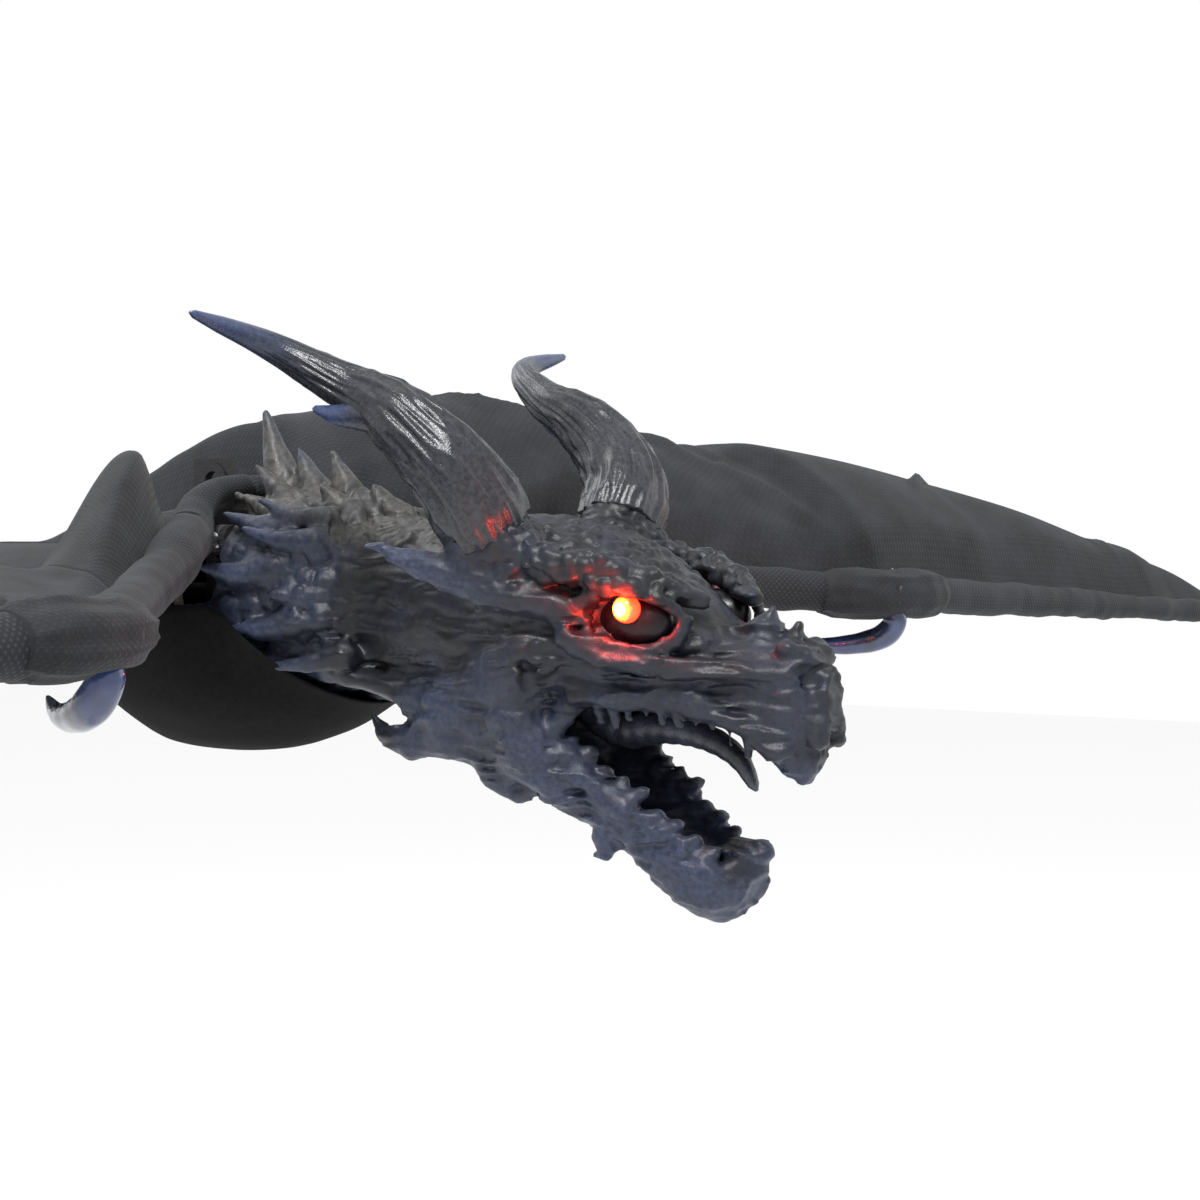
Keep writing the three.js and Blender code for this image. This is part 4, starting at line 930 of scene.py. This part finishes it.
def padded_tube(name, path, radius, material, sides=40, wrinkle=1.0, seed=1, squash=1.0, gather=0.0):
    """A hem rolled round a rod: a soft tube along the path, wrinkled across and gathered along."""
    n = len(path)
    across, ups = frames(path)
    turn = np.linspace(0, 2 * np.pi, sides + 1)
    r = np.broadcast_to(np.asarray(radius, float), (n,))[:, None] * np.ones(sides + 1)
    ring = (path[:, None] + across[:, None] * (r * np.cos(turn) * squash)[..., None]
            + ups[:, None] * (r * np.sin(turn))[..., None])
    out = ring - path[:, None]
    out /= np.maximum(np.linalg.norm(out, axis=2, keepdims=True), 1e-9)
    flat = ring.reshape(-1, 3)
    bumps = lattice_noise(flat, (26, 26, 20), seed) * 1.3 + lattice_noise(flat, (9, 9, 30), seed + 1) * 0.8
    bumps = bumps.reshape(n, sides + 1) * wrinkle
    if gather:
        around = np.stack([np.cos(turn), np.sin(turn)], -1) * 2.2
        way = np.linspace(0, 1, n)
        pleat = np.concatenate([np.broadcast_to(around, (n, sides + 1, 2)),
                                np.broadcast_to(way[:, None, None] * 1.6, (n, sides + 1, 1))], -1)
        bumps += gather * (np.abs(lattice_noise(pleat, 1.0, seed + 5)) * -2.2 + 0.6)
    taper = np.minimum(1, np.minimum(np.arange(n), np.arange(n)[::-1])[:, None] / 3 + 0.25)
    ring = ring + out * bumps[..., None] * taper[..., None]
    ring[:, -1] = ring[:, 0]
    length = np.concatenate([[0], np.cumsum(np.linalg.norm(np.diff(path, axis=0), axis=1))])
    uv = np.stack(np.broadcast_arrays(turn[None] * float(np.mean(radius)), length[:, None]), -1) * MM
    verts = np.vstack([ring.reshape(-1, 3), path[0], path[-1]])
    index = np.arange(n * (sides + 1)).reshape(n, -1)
    faces = np.stack([index[:-1, :-1], index[:-1, 1:], index[1:, 1:], index[1:, :-1]], -1).reshape(-1, 4).tolist()
    for j in range(sides):
        faces.append([len(verts) - 2, index[0, j + 1], index[0, j]])
        faces.append([len(verts) - 1, index[-1, j], index[-1, j + 1]])
    obj = mesh_object(name, row(verts), faces, material)
    lay_uv(obj, np.vstack([uv.reshape(-1, 2), [[0, 0], [0, 0]]]))
    weld(obj, 1e-5)
    return obj


# ---- Wings -----------------------------------------------------------------------------------------
ARM = [(33, 230, 26), (45, 230, 26), (62, 218, 27), (110, 174, 25), (150, 146, 13), (205, 105, 3), (274, 49, -4)]
FRONT = [(299, 37, -4), (304, 37, -4), (440, 26, -11), (600, 8, -20), (780, -10, -30)]
ARM_PATH, _ = hermite(ARM, 260)
FRONT_PATH, _ = hermite(FRONT, 300)
LEAD = np.vstack([ARM_PATH, FRONT_PATH])
TIP_X, WRIST_X, ROOT_X, SEAM_X, PANEL_X = 776.0, 290.0, 64.0, 190.0, 49.0
ARM_HEM = 10.6  # outer radius of the padded hem on the arm
FINGER_HEM = (10.5, 5.8)  # the same past the wrist: at the wrist, at the tip
HEM_TUCK = (6, 30)  # behind the rod's axis, how far the cloth takes to rise out of the hem
CREST_LINE = {
    1: ([40, 64, 174, 290, 440, 530, 610, 700, 780], [44, 50, 84, 84, 73, 59, 43, 23, 3]),
    -1: ([40, 64, 115, 150, 190, 270, 325, 440, 610, 780], [33, 36, 40, 28, 15, 26, 30, 22, 14, 2]),
}


def lead_at(x):
    return np.interp(x, LEAD[:, 0], LEAD[:, 1]), np.interp(x, LEAD[:, 0], LEAD[:, 2])


def crest_at(x, side):
    places, heights = CREST_LINE[side]
    offsets = np.linspace(-18, 18, 7)
    return sum(np.interp(x + o, places, heights) for o in offsets) / 7


def chord_at(x):
    inner = (x - ROOT_X) / (WRIST_X - ROOT_X)
    near = 250 + 90 * inner - 46 * np.sin(np.pi * np.clip(inner, 0, 1)) ** 2
    outer = np.clip((x - WRIST_X) / 490, 0, 1)
    ends = [WRIST_X, 440, 610, 780]
    between = np.interp(x, ends, [0, 1, 2, 3]) % 1.0
    far = 340 - 306 * outer ** 1.25 - 40 * (1 - outer) * np.sin(np.pi * between)
    return np.where(x <= WRIST_X, near, far)


def wing_point(x, share, side):
    """The wing's cloth before its folds: x along the span, share from the rod to the trailing edge."""
    lead_y, lead_z = lead_at(x)
    fall = np.where(share < 0.35, ((share - 0.35) / 0.35) ** 2, 0.95 * ((share - 0.35) / 0.65) ** 2)
    if side < 0:
        drop = np.where(share < 0.14, ((share - 0.14) / 0.14) ** 2, 1.6 * ramp(share, 0.14, 0.42))
        fall = drop + (fall - drop) * ramp(x, 150, 225)
    return np.stack([x, lead_y + share * chord_at(x), lead_z + crest_at(x, side) * (1 - fall)], -1)


def panel_point(x, share):
    """The cape over the back, from the collar's hem to the body's end."""
    front = 241 - 24 * np.clip(np.abs(x) / ROOT_X, 0, 1) ** 2
    rise = 52 - 14 * (x / PANEL_X) ** 2
    back = 42.5 - 5 * (x / PANEL_X) ** 2 - 26 * ramp(front + share * (498 - front), 250, 340)
    settle = np.exp(-((share * 250) / 11) ** 2)
    return np.stack([x, front + share * (498 - front), back + (rise - back) * settle], -1)


def folds(points, side):
    """Creases that fan out from the wrist and the shoulder, and the slack between them."""
    x, y = points[..., 0], points[..., 1]
    total = 0
    for cx, cy, near, far, size in ((WRIST_X, 30, 25, 170, 13.0), (40, 225, 30, 180, 8.0)):
        away = np.hypot(x - cx, y - cy)
        turn = np.arctan2(y - cy, x - cx)
        fan = np.stack([turn * 3.6, away / 240, np.full_like(x, side * 3.0)], -1)
        sharp = 0.5 - np.abs(lattice_noise(fan, 1.0, 40 + int(cx))) * 1.9
        soft = lattice_noise(fan * (2.4, 1.4, 1), 1.0, 50)
        fade = ramp(away, near, far) * (1 - 0.55 * ramp(away, 260, 420))
        total = total + size * fade * (sharp + 0.4 * soft)
    flat = np.stack([x, y, np.full_like(x, side * 70.0)], -1)
    total = total + 4.5 * lattice_noise(flat, (95, 120, 60), 60) + 1.8 * lattice_noise(flat, (34, 46, 60), 61)
    bent = flat + 6 * lattice_noise(flat, 40, 63)[..., None]
    crease = 1 - np.clip(np.abs(lattice_noise(bent, (60, 90, 60), 62)) * 9, 0, 1)
    total = total + 1.6 * crease + 0.5 * lattice_noise(flat, (9, 12, 60), 64)
    depth, lift = (1.0, 2.0) if side > 0 else (0.5, -1.0)
    total = total * depth + lift * (1 - ramp(x, 270, 300))
    over_rods = ramp(x, 285, 305)
    return total + (np.maximum(total, 0) - total) * over_rods + 1.2 * over_rods


def wing_sheet(side):
    name = "left" if side > 0 else "right"
    step = 3.0
    columns = np.unique(np.concatenate([np.linspace(PANEL_X, SEAM_X, int(141 / step)),
                                        np.linspace(SEAM_X, TIP_X, int(586 / step))]))
    shares = np.linspace(0, 1, int(320 / step)) ** 1.08
    x, share = np.meshgrid(columns, shares, indexing="ij")
    start = np.interp(x, [49, 90, 262, 272, 306, 330, TIP_X], [2, 7, 7, 12, 13, 6, 3]) / chord_at(x)
    share = start + (1 - start) * share
    wing = wing_point(np.maximum(x, PANEL_X), share, side)
    lead_z = lead_at(np.maximum(x, PANEL_X))[1]
    wing[..., 2] = lead_z + (wing[..., 2] - lead_z) * ramp(share * chord_at(x), *HEM_TUCK)
    join = ramp(x, PANEL_X, 84)[..., None]
    points = panel_point(x, share) * (1 - join) + wing * join
    grown = ramp(share, 0.0, 0.16) * ramp(x, PANEL_X, 90) * (1 - ramp(x, 690, 776) * 0.8)
    points[..., 2] += folds(points, side) * grown
    points[..., 1] += 7 * lattice_noise(points * (1, 0, 0), 42, 71 + side) * ramp(share, 0.85, 1) * ramp(x, 60, 120)
    points[..., 2] = np.where(x > 60, np.maximum(points[..., 2], lead_at(x)[1] - 3.0), points[..., 2])
    uv = np.stack([x, share * chord_at(x)], -1) * MM
    arm, hand = f"{name}_arm", f"{name}_hand"
    at = int(np.argmin(np.abs(columns - SEAM_X)))
    nodes = {"cape": (slice(0, at + 1), "inner_membrane", ("frame", arm), (46, 72), (0.17, 0.36)),
             "wing": (slice(at, None), "outer_membrane", (arm, hand), (276, 300), (0.62, 0.37))}
    for part, (cut, node, bodies, bend, flat) in nodes.items():
        piece, piece_uv = points[cut] * (side, 1, 1), uv[cut]
        if side < 0:
            piece, piece_uv = piece[::-1], piece_uv[::-1]
        obj = grid_sheet(f"{name}_{part}_cloth", piece, piece_uv, MATERIALS["cloth"])
        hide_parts(f"{name}_{node}")
        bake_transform(obj)


def wing_hems(side):
    name = "left" if side > 0 else "right"
    flip = np.array([side, 1, 1])
    arm, hand = f"{name}_arm", f"{name}_hand"
    steps = 150
    at = (np.linspace(0.12, 0.93, steps) * (len(ARM_PATH) - 1)).astype(int)
    hem = padded_tube(f"{name}_arm_hem", ARM_PATH[at] * flip, ARM_HEM, MATERIALS["hem"], wrinkle=1.0,
                      seed=80 + side)
    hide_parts(f"{name}_arm_sleeve")
    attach(hem, arm)
    at = (np.linspace(0.03, 0.995, steps) * (len(FRONT_PATH) - 1)).astype(int)
    radius = np.linspace(*FINGER_HEM, steps)
    hem = padded_tube(f"{name}_finger_hem", FRONT_PATH[at] * flip, radius, MATERIALS["hem"], wrinkle=0.9,
                      seed=84 + side)
    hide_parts(f"{name}_finger_sleeve")
    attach(hem, hand)
    path, _ = hermite([(252, 67, -3), (266, 55, -3.6), (280, 44, -4), (296, 39, -4), (310, 38.5, -4),
                       (324, 36.5, -4)], 70)
    radius = np.interp(np.linspace(0, 1, 70), [0, 0.1, 0.3, 0.5, 0.7, 0.9, 1],
                       [10.5, 12.8, 13.2, 12.6, 13.6, 12.6, 9.8])
    cuff = padded_tube(f"{name}_wrist_gather", path * flip, radius, MATERIALS["cloth"], 72, 0.6, 88 + side, 1.32, 1.3)
    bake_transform(cuff)
    path, _ = hermite([(1.5, 241, 51.5), (24, 239, 48), (42, 233, 40), (55, 224, 32), (66, 215, 28)], 60)
    collar = padded_tube(f"{name}_collar_hem", path * flip, np.linspace(5.5, 11.4, 60), MATERIALS["hem"], 40, 0.7,
                         92 + side)
    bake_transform(collar)


def back_panel():
    step = 3.5
    columns = np.concatenate([np.arange(-PANEL_X, 0, 3.5), [0.0], np.arange(3.5, PANEL_X + 0.1, 3.5)])
    shares = np.linspace(0, 1, int(260 / step))
    x, share = np.meshgrid(columns, shares, indexing="ij")
    points = panel_point(x, share)
    slack = ramp(share, 0.1, 0.3) * (1 - ramp(np.abs(x), 36, PANEL_X))
    points[..., 2] += slack * (3.0 * lattice_noise(points * (1, 1, 0), (30, 70, 9), 66) - 1)
    middle = (points[:-1, :-1] + points[1:, 1:]) / 2
    keep = ~((np.abs(middle[..., 0]) < 3.4) & (middle[..., 1] > 246) & (middle[..., 1] < 279))
    uv = np.stack([x, points[..., 1]], -1) * MM
    obj = grid_sheet("back_cloth", points, uv, MATERIALS["cloth"], keep=keep)
    place(obj, "back_panel", "cloth", "frame")


# Rings of the fabric body: y, middle z, half width, height above, depth below, lean.
BODY = [(200, -2, 66, 40, 41, 1.1), (218, -3, 68, 38, 58, 0.7), (236, -4, 70, 36, 72, 0.35), (275, -4, 60, 26, 72, 0),
        (300, -4, 54, 20, 62, 0), (330, -6, 44, 18, 42, 0), (400, -8, 31, 17, 29, 0), (518, -3, 20, 13, 14, 0)]


def belly():
    count = 150
    y = np.linspace(200, 518, count)
    mid, wide, up, down, lean = profile(y, BODY, 26)
    turn = np.linspace(-0.5 * np.pi, 1.5 * np.pi, 97)
    rise = np.sin(turn)[None] * np.where(np.sin(turn)[None] > 0, up[:, None], down[:, None])
    points = np.stack([wide[:, None] * np.cos(turn), y[:, None] + rise * lean[:, None], mid[:, None] + rise], -1)
    flat = points.reshape(-1, 3)
    slack = 2.6 * lattice_noise(flat, (40, 60, 40), 101) + 1.2 * lattice_noise(flat, (14, 40, 14), 102)
    slack = slack.reshape(points.shape[:2]) * ramp(y, 204, 240)[:, None] * (1 - ramp(y, 480, 518))[:, None]
    slack = slack * np.where(points[..., 2] > 10, 0.3, 1.0) - 0.8
    out = np.stack([np.broadcast_to(np.cos(turn), rise.shape), 0 * rise, np.broadcast_to(np.sin(turn), rise.shape)], -1)
    points = points + out * slack[..., None]
    points[:, -1] = points[:, 0]
    middle = (points[:-1, :-1] + points[1:, 1:]) / 2
    keep = ~((middle[..., 1] < 264) & (middle[..., 2] > -4))
    keep &= ~((np.abs(middle[..., 0]) < 4) & (middle[..., 1] < 280) & (middle[..., 2] > 0))
    uv = np.stack(np.broadcast_arrays(turn[None] * 50, y[:, None]), -1) * MM
    # The lining's extra darkness is painted shade: the belly hangs in the wings' shade.
    obj = grid_sheet("belly_cloth", points, uv, MATERIALS["lining"], 1.0, keep, round_seam=True)
    place(obj, "body_sleeve", "lining", "frame")


def tail():
    y = np.linspace(519, 880, 120)
    path = np.stack([0 * y, y, -8 * ramp(y, 780, 880)], 1)
    radius = np.interp(path[:, 1], [519, 802, 880], [16.6, 8.8, 4.6])
    obj = padded_tube("tail_cloth", path, radius, MATERIALS["cloth"], 64, 0.7, 110, 1.0, 0.4)
    place(obj, "tail_sleeve", "cloth", "frame")


back_panel()
belly()
tail()
for side in (1, -1):
    wing_sheet(side)
    wing_hems(side)


# ---- What the CAD frame shows as it is -------------------------------------------------------------
SLOT_OF = {entry["node"]: entry["material_slot"] for entry in frame["record"]["subparts"]}
for node_name, node in frame["nodes"].items():
    node.data.materials.clear()
    node.data.materials.append(MATERIALS[SLOT_OF[node_name]])


# ---- Stage -----------------------------------------------------------------------------------------
FLOOR_SIZE, FLOOR_Z = 9.0, -0.9  # half its width and its height, in metres
LIGHTS = (("key", (-1.3, -0.7, 1.9), 75, 0.5), ("fill", (1.8, -1.5, 0.6), 8, 1.6), ("rim", (0.2, 1.9, 1.5), 18, 1.4))
LIT_POINT = (0, -0.2, -0.05)
CAMERA_AZIMUTH, CAMERA_ELEVATION, CAMERA_AWAY = math.radians(56.0), math.radians(1.8), 900.0
CAMERA_RIGHT, CAMERA_UP = -31.25, 1.25  # how far its axis passes from the eyes' midpoint, in millimetres
LENS, SENSOR = 64.8, 36


def stage():
    size, drop = FLOOR_SIZE, FLOOR_Z
    floor = mesh_object("floor", [(-size, -size, drop), (size, -size, drop), (size, size, drop), (-size, size, drop)],
                        [[0, 1, 2, 3]], Shader("floor", 0.9, colour=(0.93, 0.93, 0.93)).material, smooth=False)
    world = bpy.data.worlds.new("studio")
    bpy.context.scene.world = world
    world.use_nodes = True
    world.node_tree.nodes["Background"].inputs[0].default_value = (1, 1, 1, 1)
    world.node_tree.nodes["Background"].inputs[1].default_value = 1.0
    bpy.context.scene.view_settings.view_transform = "Standard"
    for name, spot, energy, wide in LIGHTS:
        light = bpy.data.lights.new(name, "AREA")
        light.energy, light.size = energy, wide
        lamp = bpy.data.objects.new(name, light)
        bpy.context.collection.objects.link(lamp)
        lamp.location = spot
        aim(lamp, LIT_POINT)


def aim(obj, target):
    direction = Vector(target) - Vector(obj.location)
    obj.rotation_euler = direction.to_track_quat("-Z", "Y").to_euler()


def camera():
    """From the dragon's right front, a little above its eyes."""
    data = bpy.data.cameras.new("camera")
    data.sensor_width = SENSOR
    data.lens = LENS
    cam = bpy.data.objects.new("camera", data)
    bpy.context.collection.objects.link(cam)
    level = math.cos(CAMERA_ELEVATION)
    look = np.array([math.sin(CAMERA_AZIMUTH) * level, math.cos(CAMERA_AZIMUTH) * level, -math.sin(CAMERA_ELEVATION)])
    right = np.array([math.cos(CAMERA_AZIMUTH), -math.sin(CAMERA_AZIMUTH), 0])
    stand = -CAMERA_AWAY * look + right * CAMERA_RIGHT + np.cross(right, look) * CAMERA_UP
    cam.location = row(stand)
    aim(cam, row(stand + look * 100))
    bpy.context.scene.camera = cam


stage()
camera()
